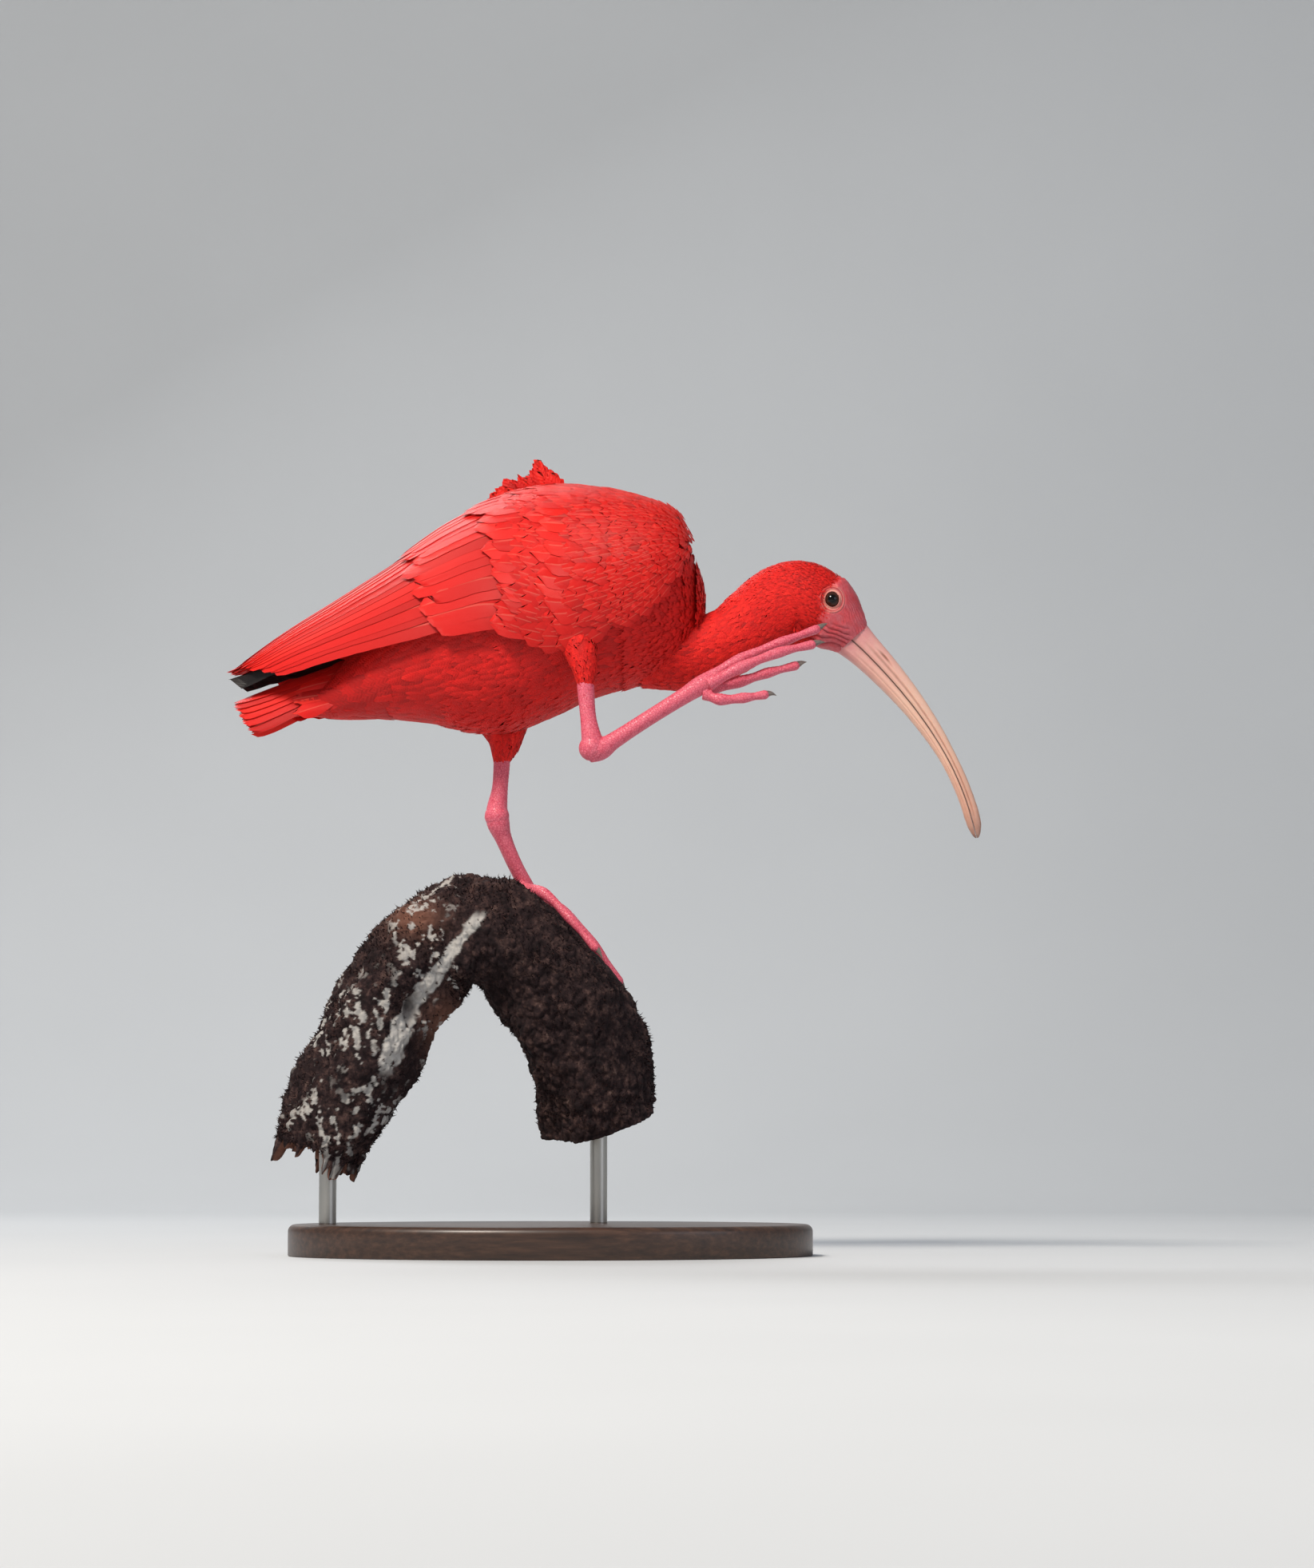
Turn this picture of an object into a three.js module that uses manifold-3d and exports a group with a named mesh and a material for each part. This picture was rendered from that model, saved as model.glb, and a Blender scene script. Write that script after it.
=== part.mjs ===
// Scarlet ibis, life size. It balances on its left foot on a mossy branch stub, and its right foot scratches
// its chin.
// Units are millimetres. +X is the way the bird faces, +Y is its left, +Z is up.
// The origin is the middle of the underside of the display base.
import * as THREE from 'three';
import { mergeVertices } from 'three/addons/utils/BufferGeometryUtils.js';
import Module from 'manifold-3d';

const wasm = await Module();
wasm.setup();

const gap = 0.3; // clearance between neighbouring solids
const right = -1;
const left = 1;

// Small tools

const vec = (x, y, z) => new THREE.Vector3(x, y, z);

// A smooth function of x through a few [x, value] keys: cubic pieces, each slope taken from the keys on
// either side.
function along(keys) {
  const slope = (i) => {
    const [x0, v0] = keys[Math.max(i - 1, 0)];
    const [x1, v1] = keys[Math.min(i + 1, keys.length - 1)];
    return (v1 - v0) / (x1 - x0);
  };
  return (x) => {
    if (x <= keys[0][0]) return keys[0][1];
    if (x >= keys.at(-1)[0]) return keys.at(-1)[1];
    const i = keys.findIndex(([kx]) => kx > x) - 1;
    const [[xa, va], [xb, vb]] = [keys[i], keys[i + 1]];
    const width = xb - xa;
    const t = (x - xa) / width;
    const [t2, t3] = [t * t, t * t * t];
    return va * (2 * t3 - 3 * t2 + 1) + slope(i) * width * (t3 - 2 * t2 + t)
      + vb * (3 * t2 - 2 * t3) + slope(i + 1) * width * (t3 - t2);
  };
}

// The whole count of even steps from 0 to 1, both ends included.
const steps = (count) => Array.from({ length: count + 1 }, (_, i) => i / count);

// Random numbers from a seed, so that every build is the same.
function seeded(seed) {
  let state = seed;
  return () => {
    state = (state * 1664525 + 1013904223) % 4294967296;
    return state / 4294967296;
  };
}

// A closed three.js geometry as a solid that can be joined and cut.
function solidFrom(geometry) {
  const bare = geometry.clone();
  bare.deleteAttribute('normal');
  bare.deleteAttribute('uv');
  const merged = mergeVertices(bare, 1e-4);
  const mesh = new wasm.Mesh({
    numProp: 3,
    vertProperties: new Float32Array(merged.attributes.position.array),
    triVerts: new Uint32Array(merged.index.array),
  });
  return new wasm.Manifold(mesh);
}

function solidOfFaces(points, faces) {
  const geometry = new THREE.BufferGeometry();
  const flat = (order) => faces.flatMap((face) => order.map((k) => face[k]));
  const indexed = (order) => {
    const places = points.flatMap((p) => p.toArray());
    geometry.setAttribute('position', new THREE.Float32BufferAttribute(places, 3));
    geometry.setIndex(flat(order));
    return solidFrom(geometry);
  };
  const made = indexed([0, 1, 2]);
  return made.volume() > 0 ? made : indexed([0, 2, 1]);
}

// Rings of equal length joined into a closed skin, with a middle point that closes each end.
function loft(rings) {
  const count = rings[0].length;
  const middle = (ring) => ring.reduce((sum, p) => sum.add(p), vec(0, 0, 0)).divideScalar(count);
  const points = [...rings.flat(), middle(rings[0]), middle(rings.at(-1))];
  const faces = [];
  for (let r = 0; r + 1 < rings.length; r++) {
    for (let k = 0; k < count; k++) {
      const [a, b] = [r * count + k, r * count + (k + 1) % count];
      faces.push([a, b, b + count], [a, b + count, a + count]);
    }
  }
  const [firstEnd, lastEnd] = [points.length - 2, points.length - 1];
  const lastRing = (rings.length - 1) * count;
  for (let k = 0; k < count; k++) {
    const next = (k + 1) % count;
    faces.push([firstEnd, next, k], [lastEnd, lastRing + k, lastRing + next]);
  }
  return solidOfFaces(points, faces);
}

// A frame across a path: `over` lies in the plane of the path's direction and the given up, `side` is level.
function frameAcross(direction, up = vec(0, 0, 1)) {
  const over = up.clone().addScaledVector(direction, -up.dot(direction)).normalize();
  return { over, side: direction.clone().cross(over) };
}

// Stations [x, y, z, half height, half width] carried along a smooth path, as a closed oval tube.
function ovalTube(stations, { sides = 12, rings = 10, grow = 0, up = vec(0, 0, 1) } = {}) {
  const path = new THREE.CatmullRomCurve3(stations.map(([x, y, z]) => vec(x, y, z)), false, 'centripetal');
  const last = stations.length - 1;
  const height = along(stations.map((s, i) => [i, s[3]]));
  const width = along(stations.map((s, i) => [i, s[4] ?? s[3]]));
  return loft(steps(rings).map((t) => {
    const ahead = path.getTangent(t);
    const endGrow = t === 0 ? -grow : t === 1 ? grow : 0;
    const centre = path.getPoint(t).addScaledVector(ahead, endGrow);
    const { over, side } = frameAcross(ahead, up);
    return steps(sides).slice(0, -1).map((turn) => {
      const angle = turn * 2 * Math.PI;
      return centre.clone()
        .addScaledVector(over, (height(t * last) + grow) * Math.cos(angle))
        .addScaledVector(side, (width(t * last) + grow) * Math.sin(angle));
    });
  }));
}

function ball(centre, [rx, ry, rz], detail = 12) {
  const geometry = new THREE.SphereGeometry(1, detail, Math.round(detail * 0.6));
  geometry.scale(rx, ry, rz).translate(...centre);
  return solidFrom(geometry);
}

// A big box that keeps what lies on the far side of a plane, `offset` beyond the point along the direction.
function beyond(point, direction, offset = 0) {
  const size = 800;
  const geometry = new THREE.BoxGeometry(size, size, size).translate(0, 0, size / 2 + offset);
  const turn = new THREE.Quaternion().setFromUnitVectors(vec(0, 0, 1), direction.clone().normalize());
  geometry.applyQuaternion(turn).translate(point.x, point.y, point.z);
  return solidFrom(geometry);
}

const joined = (solids) => solids.reduce((sum, solid) => sum.add(solid));
const cutBy = (solid, tools) => tools.reduce((rest, tool) => rest.subtract(tool), solid);

// The largest closed surface of a solid: a sealed hollow is filled and a loose scrap is dropped.
function largest(solid) {
  return solid.decompose().reduce((best, one) => (one.volume() > best.volume() ? one : best));
}

const model = new THREE.Group();

const finishes = {
  plumage: new THREE.MeshStandardMaterial({ color: 0xdd1f1a, roughness: 0.75 }),
  bareSkin: new THREE.MeshStandardMaterial({ color: 0xd9606f, roughness: 0.5 }),
  bill: new THREE.MeshStandardMaterial({ color: 0xe3b096, roughness: 0.4 }),
  claw: new THREE.MeshStandardMaterial({ color: 0x5c534c, roughness: 0.4 }),
  eye: new THREE.MeshStandardMaterial({ color: 0x1a0f0b, roughness: 0.05 }),
  bark: new THREE.MeshStandardMaterial({ color: 0x3a2c27, roughness: 0.95 }),
  board: new THREE.MeshStandardMaterial({ color: 0x2a211c, roughness: 0.5 }),
  rod: new THREE.MeshStandardMaterial({ color: 0x8d8a84, roughness: 0.35, metalness: 1 }),
};

function addNode(name, solid, material) {
  const { numProp, vertProperties, triVerts } = largest(solid).getMesh();
  const geometry = new THREE.BufferGeometry();
  geometry.setAttribute('position', new THREE.BufferAttribute(new Float32Array(vertProperties), numProp));
  geometry.setIndex(new THREE.BufferAttribute(new Uint32Array(triVerts), 1));
  geometry.computeVertexNormals();
  const mesh = new THREE.Mesh(geometry, material);
  mesh.name = name;
  model.add(mesh);
}

// Display base: a plain oval board with two rods up to the perch

const board = { halfLength: 150, halfWidth: 100, height: 18, edge: 4 };
const rodRadius = 5;

// Perch: the bent stub of a limb, broken off at its lower left end and sawn where it left the trunk.
// Each station is [x, y, z, radius] along the middle of the wood.
const limb = {
  stations: [
    [-132, -8, 56, 23], [-124, -8, 78, 29], [-108, -7, 112, 31], [-93, -5, 142, 31], [-75, -2, 170, 31],
    [-49, 1, 184, 31], [-20, 5, 177, 32], [4, 13, 150, 34], [19, 25, 114, 35], [30, 36, 78, 35],
  ],
  sides: 18,
  rings: 21,
  splinters: 9, // how far the broken end's edge stands out and in
  hollow: 12, // how deep the broken end is eaten out
  rim: 8, // how thick the wood is round the hollow
};
const limbMiddle = limb.stations.map(([x, y, z]) => vec(x, y, z));
const limbPath = new THREE.CatmullRomCurve3(limbMiddle, false, 'centripetal');
const limbRadius = along(limb.stations.map((s, i) => [i / (limb.stations.length - 1), s[3]]));

// Bark that swells and sinks a few per cent, as three slow waves.
function barkRadius(t, angle) {
  const swell = 0.05 * Math.sin(3 * angle + 14 * t) + 0.035 * Math.sin(5 * angle - 31 * t)
    + 0.03 * Math.sin(23 * t + angle);
  return limbRadius(t) * (1 + swell);
}

// A point on the limb: t runs from the broken end to the sawn end, and angle turns from its upper side to the
// viewer's.
function onLimb(t, angle, height) {
  const { over, side } = frameAcross(limbPath.getTangent(t));
  const reach = barkRadius(t, angle) + height;
  return limbPath.getPoint(t)
    .addScaledVector(over, reach * Math.cos(angle))
    .addScaledVector(side, reach * Math.sin(angle));
}

// The limb as a closed solid. Its broken end has a torn edge round a hollow, and its other end is sawn flat.
function limbSolid(grow = 0) {
  const round = steps(limb.sides).slice(0, -1).map((turn) => turn * 2 * Math.PI);
  const outward = limbPath.getTangent(0).negate();
  const tornEdge = round.map((angle) => {
    const tear = 0.6 * Math.sin(3 * angle + 1) + 0.4 * Math.sin(7 * angle);
    return onLimb(0, angle, grow).addScaledVector(outward, limb.splinters * tear + grow);
  });
  const hollowEdge = round.map((angle) =>
    onLimb(0, angle, grow - limb.rim).addScaledVector(outward, grow - limb.hollow));
  const rings = steps(limb.rings).slice(1).map((t) => round.map((angle) => onLimb(t, angle, grow)));
  const sawn = limbPath.getTangent(1).multiplyScalar(grow);
  rings.at(-1).forEach((point) => point.add(sawn));
  return loft([hollowEdge, tornEdge, ...rings]);
}

// Body: lines of the trunk of the bird, as heights and half widths along X

const torsoTop = along([[-152, 317], [-135, 330], [-118, 347], [-100, 366], [-80, 389], [-50, 420],
  [-20, 438], [10, 442], [40, 438], [64, 427], [80, 409], [88, 388]]);
const torsoBottom = along([[-152, 311], [-135, 308.5], [-118, 307], [-97, 307], [-69, 304], [-41, 299],
  [-18, 301], [5, 310], [25, 319], [51, 327], [70, 333], [82, 343], [88, 356]]);
const torsoHalfWidth = along([[-152, 7], [-135, 14], [-118, 22], [-100, 30], [-80, 38], [-50, 47], [-20, 52],
  [10, 53], [40, 49], [64, 40], [80, 26], [88, 13]]);
const torsoSpan = { rear: -152, front: 88, sides: 24, rings: 20 };
const tailCut = -116; // where the torso ends and the tail begins

function torsoSolid(grow = 0) {
  const { rear, front, sides, rings } = torsoSpan;
  // Rings crowd towards both ends, where the body rounds off.
  return loft(steps(rings).map((s) => {
    const x = rear + (front - rear) * (s - Math.sin(4 * Math.PI * s) / (4 * Math.PI) * 0.5);
    const [high, low] = [torsoTop(x) + grow, torsoBottom(x) - grow];
    const reach = x + grow * (s === 0 ? -1 : s === 1 ? 1 : 0);
    return steps(sides).slice(0, -1).map((turn) => {
      const angle = turn * 2 * Math.PI;
      const aside = (torsoHalfWidth(x) + grow) * Math.sin(angle);
      return vec(reach, aside, (high + low) / 2 + (high - low) / 2 * Math.cos(angle));
    });
  }));
}

// The back between the wings. Each feather is the root [x, y, height above the back], the tip, and the width.
const backFeathers = [
  [[48, 0, -3], [-2, 0, 2.6], 10], [[8, 0, -3], [-48, 0, 2.6], 9], [[-28, 0, -3], [-68, 0, 2.2], 5],
];

const backSurface = {
  point: (x, y) => vec(x, y, torsoTop(x)),
  normal: () => vec(0, 0, 1),
  upperLimit: -Infinity,
};

// The tuft of ruffled feathers that stand up from the back, broadside to the viewer. Each is the root
// [x, z, how far towards the viewer], the tip, and the width.
const tuftFeathers = [
  [[15, 436, -1], [1, 454, 1], 9], [[9, 436, 1.5], [-5, 461, 3], 10], [[2, 436, -1.5], [-12, 458, -2.5], 10],
  [[-6, 434, 1], [-24, 453.5, 2], 10], [[-14, 432, -1], [-35, 447.5, -1.5], 10],
];

const tuftSurface = {
  point: (x, z) => vec(x, 0, z),
  normal: () => vec(0, -1, 0),
  upperLimit: -Infinity,
};

const backVanes = () => [
  ...backFeathers.map(([root, tip, width]) => vaneOn(backSurface, root, tip, width)),
  ...tuftFeathers.map(([root, tip, width]) => vaneOn(tuftSurface, root, tip, width)),
];

// Folded wings: a cover that lies over the torso and runs on behind it, with its own lines

const coverTop = along([[-184, 337], [-156, 359], [-120, 383], [-87, 405], [-60, 425], [-32, 439], [0, 446],
  [32, 444], [60, 437], [76, 429], [86, 414]]);
const coverMiddle = along([[-184, 331], [-156, 340], [-120, 346], [-87, 354], [-60, 363], [-32, 371],
  [0, 377], [32, 380], [60, 384], [86, 392]]);
const coverHalfWidth = along([[-184, 11], [-156, 23], [-120, 34], [-87, 45], [-60, 52], [-32, 57], [0, 59],
  [32, 56], [60, 47], [76, 37], [86, 24]]);
const wingLower = along([[-184, 332], [-152, 343], [-115, 351], [-78, 355], [-41, 358], [-18, 353], [7, 347],
  [25, 353], [55, 369], [72, 386], [80, 400], [86, 411]]);
// Half the width of the back that lies bare between the wings
const backStrip = along([[-184, 0.6], [-90, 1], [-50, 5], [0, 7], [60, 9], [86, 12]]);

// The angle from the top of the cover at which it has the given height.
function coverAngle(x, z) {
  const middle = coverMiddle(x);
  const reach = z > middle ? coverTop(x) - middle : middle - torsoBottom(x);
  return Math.acos(THREE.MathUtils.clamp((z - middle) / reach, -1, 1));
}

// A point of the cover: v runs from the wing's upper edge, 0, to its lower edge, 1.
function coverPoint(x, v, wingSide) {
  const upper = Math.asin(backStrip(x) / coverHalfWidth(x));
  const angle = upper + v * (coverAngle(x, wingLower(x)) - upper);
  const middle = coverMiddle(x);
  const reach = angle < Math.PI / 2 ? coverTop(x) - middle : middle - torsoBottom(x);
  return vec(x, wingSide * coverHalfWidth(x) * Math.sin(angle), middle + reach * Math.cos(angle));
}

function coverNormal(x, v, wingSide) {
  const step = 0.5;
  const backwards = coverPoint(x - step, v, wingSide).sub(coverPoint(x + step, v, wingSide));
  const down = coverPoint(x, v + 0.01, wingSide).sub(coverPoint(x, v - 0.01, wingSide));
  return backwards.cross(down).multiplyScalar(-wingSide).normalize();
}

// The wing's flesh and close-set small coverts: a shell with a rounded rim, under the larger feathers.
const wingCore = {
  front: 85,
  rear: -120,
  rings: 11,
  rows: 5,
  under: 1.4, // how far it lies below the cover
  rimDrop: 2.2, // how far its rim turns in
  innerShare: 0.8, // of the depth, down to its inner face
};
const coreDepth = along([[-120, 3], [-70, 7], [-20, 11], [85, 11]]);

function wingCoreSolid(wingSide) {
  const { front, rear, rings, rows, under, rimDrop, innerShare } = wingCore;
  return loft(steps(rings).map((s) => {
    const x = rear + (front - rear) * s;
    const drop = Math.min(rimDrop, coreDepth(x) * 0.4);
    const row = (share) => steps(rows).map((v) => {
      const below = under + drop * Math.abs(2 * v - 1) ** 6 + share * coreDepth(x);
      return coverPoint(x, v, wingSide).addScaledVector(coverNormal(x, v, wingSide), -below);
    });
    return [...row(0), ...row(innerShare).reverse()];
  }));
}

// A feather vane: four rings of three points above and three below.
// It runs from root [x, v, height] to tip [x, v, height] on a surface and follows its curve. Its lower edge
// stands off by the roll, so that it passes over the next vane of its row without crossing it.
const vaneShape = [[0, 0.65], [0.42, 0.97], [0.86, 0.86], [1, 0.26]];

function vaneOn(surface, root, tip, width, { roll = 0, thickness = 0.6 } = {}) {
  const placeAt = (t) => root.map((value, k) => value + (tip[k] - value) * t);
  const step = 0.02;
  const rings = vaneShape.map(([t, share]) => {
    const [x, v, height] = placeAt(t);
    const [backX, backV] = placeAt(t - step);
    const [aheadX, aheadV] = placeAt(t + step);
    const ahead = surface.point(aheadX, aheadV).sub(surface.point(backX, backV)).normalize();
    const across = surface.normal(x, v).cross(ahead).normalize();
    // How the surface moves for a step along X and along v
    const alongX = surface.point(x + 1, v).sub(surface.point(x - 1, v)).divideScalar(2);
    const alongV = surface.point(x, v + step).sub(surface.point(x, v - step)).divideScalar(2 * step);
    const reachX = across.dot(alongX) / alongX.lengthSq();
    const reachV = across.dot(alongV) / alongV.lengthSq();
    const row = (offset) => [-1, 0, 1].map((s) => {
      const aside = s * share * width / 2;
      const [px, pv] = [x + aside * reachX, Math.max(v + aside * reachV, surface.upperLimit)];
      const rise = height + offset + roll * (pv - v);
      return surface.point(px, pv).addScaledVector(surface.normal(px, pv), rise);
    });
    return [...row(thickness / 2), ...row(-thickness / 2)];
  });
  const points = rings.flat();
  const faces = [];
  const quad = (a, b, c, d) => faces.push([a, b, c], [a, c, d]);
  const per = 6;
  for (let r = 0; r + 1 < rings.length; r++) {
    const [near, far] = [r * per, (r + 1) * per];
    for (const k of [0, 1]) {
      quad(near + k, near + k + 1, far + k + 1, far + k);
      quad(near + 3 + k, far + 3 + k, far + 4 + k, near + 4 + k);
    }
    quad(near + 3, near, far, far + 3);
    quad(near + 2, near + 5, far + 5, far + 2);
  }
  const end = (rings.length - 1) * per;
  quad(0, 3, 4, 1);
  quad(1, 4, 5, 2);
  quad(end, end + 1, end + 4, end + 3);
  quad(end + 1, end + 2, end + 5, end + 4);
  return solidOfFaces(points, faces);
}

// Rows of wing feathers. Root and tip give [x, v, height] for s from the row's upper feather, 0, to its lower
// one, 1. Roots lie in the wing's core, and each row's tips pass over the next row.
const wingRows = {
  // Primaries, folded under the rest, show their dark tips along the lower edge.
  primaries: {
    count: 3,
    roll: 5,
    width: 12,
    root: (s) => [-102 - 4 * s, 0.95 + 0.05 * s, -3.4],
    tip: (s) => [-183 + 24 * s, 1.2 + 0.12 * s, -3.4 - 0.6 * s],
  },
  // Secondaries and tertials: the innermost are the longest.
  secondaries: {
    count: 5,
    roll: 5,
    width: 21,
    root: (s) => [-54 - 22 * s, 0.06 + 0.78 * s, -3.2],
    tip: (s) => [-184 + 52 * Math.max(s - 0.25, 0) ** 1.5, 0.12 + 0.84 * s, -0.4],
  },
  greaterCoverts: {
    count: 6,
    roll: 6,
    width: 22,
    root: (s) => [-12 - 2 * s, 0.05 + 0.8 * s, -3.4],
    tip: (s) => [-96 + 26 * s, 0.15 + 0.81 * s, 0.8],
  },
  medianCoverts: {
    count: 6,
    roll: 6,
    width: 21,
    root: (s) => [30 - 6 * s, 0.05 + 0.72 * s, -3.4],
    tip: (s) => [-42 + 18 * s, 0.18 + 0.75 * s, 1.3],
  },
};
const tipShift = 5; // how unevenly a row's tips end

function wingSolid(wingSide) {
  const random = seeded(wingSide === right ? 11 : 29);
  const surface = {
    point: (x, v) => coverPoint(x, v, wingSide),
    normal: (x, v) => coverNormal(x, v, wingSide),
    upperLimit: 0,
  };
  const rowOf = ({ count, roll, width, root, tip }) => steps(count - 1).map((s) => {
    const [tipX, tipV, tipHeight] = tip(s);
    const shift = tipShift * (random() - 0.5);
    return vaneOn(surface, root(s), [tipX + shift, tipV, tipHeight], width, { roll });
  });
  return joined([wingCoreSolid(wingSide), ...Object.values(wingRows).flatMap(rowOf)]);
}

// Tail: twelve feathers folded into a steep roof, the middle pair on top

const tail = {
  pairs: 6,
  rootX: -100,
  length: 84,
  width: 15,
  outerShorter: 9, // how much the outermost feathers are shorter than the middle ones
  layer: 1.25, // each pair lies this much below the one before
  rootDepth: 2,
};
const tailTop = along([[-184, 318], [-150, 331], [-100, 349]]);
const tailDrop = along([[-184, 17], [-150, 23], [-100, 34]]);
const tailHalfWidth = along([[-184, 17], [-100, 15]]);
const tailTurn = 1.25; // radians from the ridge to the outermost feather

const tailSurface = {
  point: (x, v) => {
    const angle = v * tailTurn;
    const drop = tailDrop(x) * (1 - Math.cos(angle)) / (1 - Math.cos(tailTurn));
    return vec(x, tailHalfWidth(x) * Math.sin(angle), tailTop(x) - drop);
  },
  normal: (x, v) => {
    const angle = v * tailTurn;
    return vec(-0.3, Math.sin(angle) * 1.3, Math.cos(angle)).normalize();
  },
  upperLimit: -Infinity,
};

function tailSolid(core) {
  const vanes = steps(tail.pairs - 1).flatMap((s, i) => [right, left].map((tailSide) => {
    const v = tailSide * (0.5 + i) / (tail.pairs - 0.5);
    const height = -tail.layer * (i + (tailSide === left ? 0.5 : 0));
    const tipX = tail.rootX - tail.length + tail.outerShorter * s * s;
    return vaneOn(tailSurface, [tail.rootX, v * 0.6, height - tail.rootDepth], [tipX, v, height], tail.width);
  }));
  return joined([core, ...vanes]);
}

// Neck and head: [x, y, z, half height, half width] along the S from the breast to the bill

const neckStations = [
  [58, -1, 352, 28, 24], [84, -4, 347, 23.5, 21], [104, -7, 354, 22, 19], [119, -9, 365, 23.5, 18],
  [133, -11, 374, 25, 18], [146, -12, 376, 25, 18.5], [158, -12, 369, 22.5, 17.5],
  [168, -12, 360, 16.5, 13.5], [174, -12, 353.5, 11.5, 9],
];
const neckRings = 24;
const nape = vec(128, -10, 371);
const napeDirection = vec(0.86, -0.1, 0.5).normalize();
const headAndNeck = (grow = 0) => ovalTube(neckStations, { sides: 20, rings: neckRings, grow });

const headMiddleY = -12;
const eye = {
  radius: 5,
  x: 161.5,
  z: 375,
  depth: 12.4, // from the head's middle to the eyeball's
  lidRing: 4.3,
  lidThickness: 1.1,
  lidStand: 2.7, // how far the lids lie outside the eyeball's middle
};

function eyeSolid(eyeSide, grow = 0) {
  const radius = eye.radius + grow;
  return ball([eye.x, headMiddleY + eyeSide * eye.depth, eye.z], [radius, radius, radius]);
}

// The lids: a ring of skin round the eyeball where it comes out of the face.
function lidSolid(eyeSide) {
  const ring = new THREE.TorusGeometry(eye.lidRing, eye.lidThickness, 6, 16);
  ring.rotateX(Math.PI / 2).translate(eye.x, headMiddleY + eyeSide * (eye.depth + eye.lidStand), eye.z);
  return solidFrom(ring);
}

// Bill: one decurved line, with the mouth parting it into two halves

const billLine = new THREE.QuadraticBezierCurve3(
  vec(173.6, -12, 354.2),
  vec(234.7, -14, 295.6),
  vec(244.5, -15, 238.5),
);
const billDepth = along([[0, 22.5], [0.09, 19.5], [0.25, 16], [0.42, 12.7], [0.6, 9.8], [0.8, 9],
  [0.93, 8.2], [1, 3.4]]);
const billWidth = along([[0, 15], [0.12, 12.5], [0.5, 8], [0.8, 6.6], [0.93, 6], [1, 3]]);
const mouthShare = 0.57; // of the depth, from the top

const billRings = 18;
const billSides = 9;
const groovedSides = [2, 7]; // the corners of the section that the nasal groove presses in
const grooveShare = 0.86; // of the width, at the groove

// A half of the bill. Its section is a half oval, with the nasal groove along each flank of the upper half.
function billHalf(upper) {
  return loft(steps(billRings).map((t) => {
    const centre = billLine.getPoint(t);
    const { over, side } = frameAcross(billLine.getTangent(t));
    const depth = billDepth(t);
    const mouth = depth * (0.5 - mouthShare) + (upper ? gap / 2 : -gap / 2);
    const reach = upper ? depth / 2 - mouth : depth / 2 + mouth;
    return steps(billSides).map((turn, k) => {
      const angle = turn * Math.PI;
      const flank = upper && groovedSides.includes(k) ? grooveShare : 1;
      return centre.clone()
        .addScaledVector(over, mouth + (upper ? 1 : -1) * reach * Math.sin(angle) ** 0.85)
        .addScaledVector(side, flank * billWidth(t) / 2 * Math.cos(angle));
    });
  }));
}

const nostril = {
  t: 0.13,
  height: 0.26, // of the depth, above the bill's middle
  aside: 0.42, // of the width
  length: 4.2,
  depth: 2.2,
  radius: 0.8,
};

function nostrilCut(flank) {
  const centre = billLine.getPoint(nostril.t);
  const direction = billLine.getTangent(nostril.t);
  const { over, side } = frameAcross(direction);
  const middle = centre.addScaledVector(over, nostril.height * billDepth(nostril.t))
    .addScaledVector(side, flank * billWidth(nostril.t) * nostril.aside);
  const slit = new THREE.SphereGeometry(1, 8, 6).scale(nostril.length, nostril.depth, nostril.radius);
  const turn = new THREE.Matrix4().makeBasis(direction, side, over).setPosition(middle);
  return solidFrom(slit.applyMatrix4(turn));
}

// Legs: thigh in feathers, bare shank, tarsus and four toes with claws

const shankRadii = [4.8, 4.6, 4.8];
const tarsusRadii = [5, 4.5, 4.8];
const knob = { radius: 6.4, halfWidth: 5.8 }; // the ankle
const pad = { radius: 6, halfHeight: 5 }; // where the toes meet
const toeRadii = { first: 3.7, last: 2.5 };
const clawHeights = [1.9, 1.4, 0.45];
const clawWidths = [1.9, 1.2, 0.45];

const legs = {
  right: {
    thigh: [[4, -34, 368, 15, 12], [14, -42, 352, 13, 11], [19, -47, 336, 9.5, 9], [20.5, -48.5, 322, 6, 6]],
    shank: [[20.5, -48.5, 321.6], [22, -50, 304], [24.5, -51, 287]],
    tarsus: [[24.5, -51, 287], [55, -50, 303], [87, -46, 324]],
  },
  left: {
    thigh: [[-30, 22, 330, 22, 17], [-29, 20, 312, 18, 15], [-28, 17, 298, 12, 11], [-29.5, 15.5, 287, 7, 7]],
    shank: [[-29.5, 15.5, 286.6], [-30.5, 14.5, 270], [-32, 14, 254]],
    tarsus: [[-32, 14, 254], [-22, 21, 226], [-8, 30, 201]],
  },
};

const tubeOf = (points, radii, options) =>
  ovalTube(points.map((p, i) => [...p, radii[i], radii[i]]), { sides: 10, rings: 8, ...options });

// A toe is [point, ...] from the pad to its last joint, and grows thinner on the way.
function toeSolid(points, grow = 0) {
  const thinner = (toeRadii.first - toeRadii.last) / (points.length - 1);
  const radii = points.map((_, i) => toeRadii.first - thinner * i);
  return tubeOf(points, radii, { sides: 8, rings: 7, grow });
}

// A claw carries on from the last two points of its toe and bends down by the given drop.
function clawSolid(points, length, drop, grow = 0) {
  const end = vec(...points.at(-1));
  const ahead = end.clone().sub(vec(...points.at(-2))).normalize();
  const start = end.clone().addScaledVector(ahead, gap);
  const middle = start.clone().addScaledVector(ahead, length * 0.55).add(vec(0, 0, -drop * 0.25));
  const tip = start.clone().addScaledVector(ahead, length).add(vec(0, 0, -drop));
  const stations = [start, middle, tip].map((p, i) => [...p.toArray(), clawHeights[i], clawWidths[i]]);
  return ovalTube(stations, { sides: 6, rings: 4, grow });
}

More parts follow.
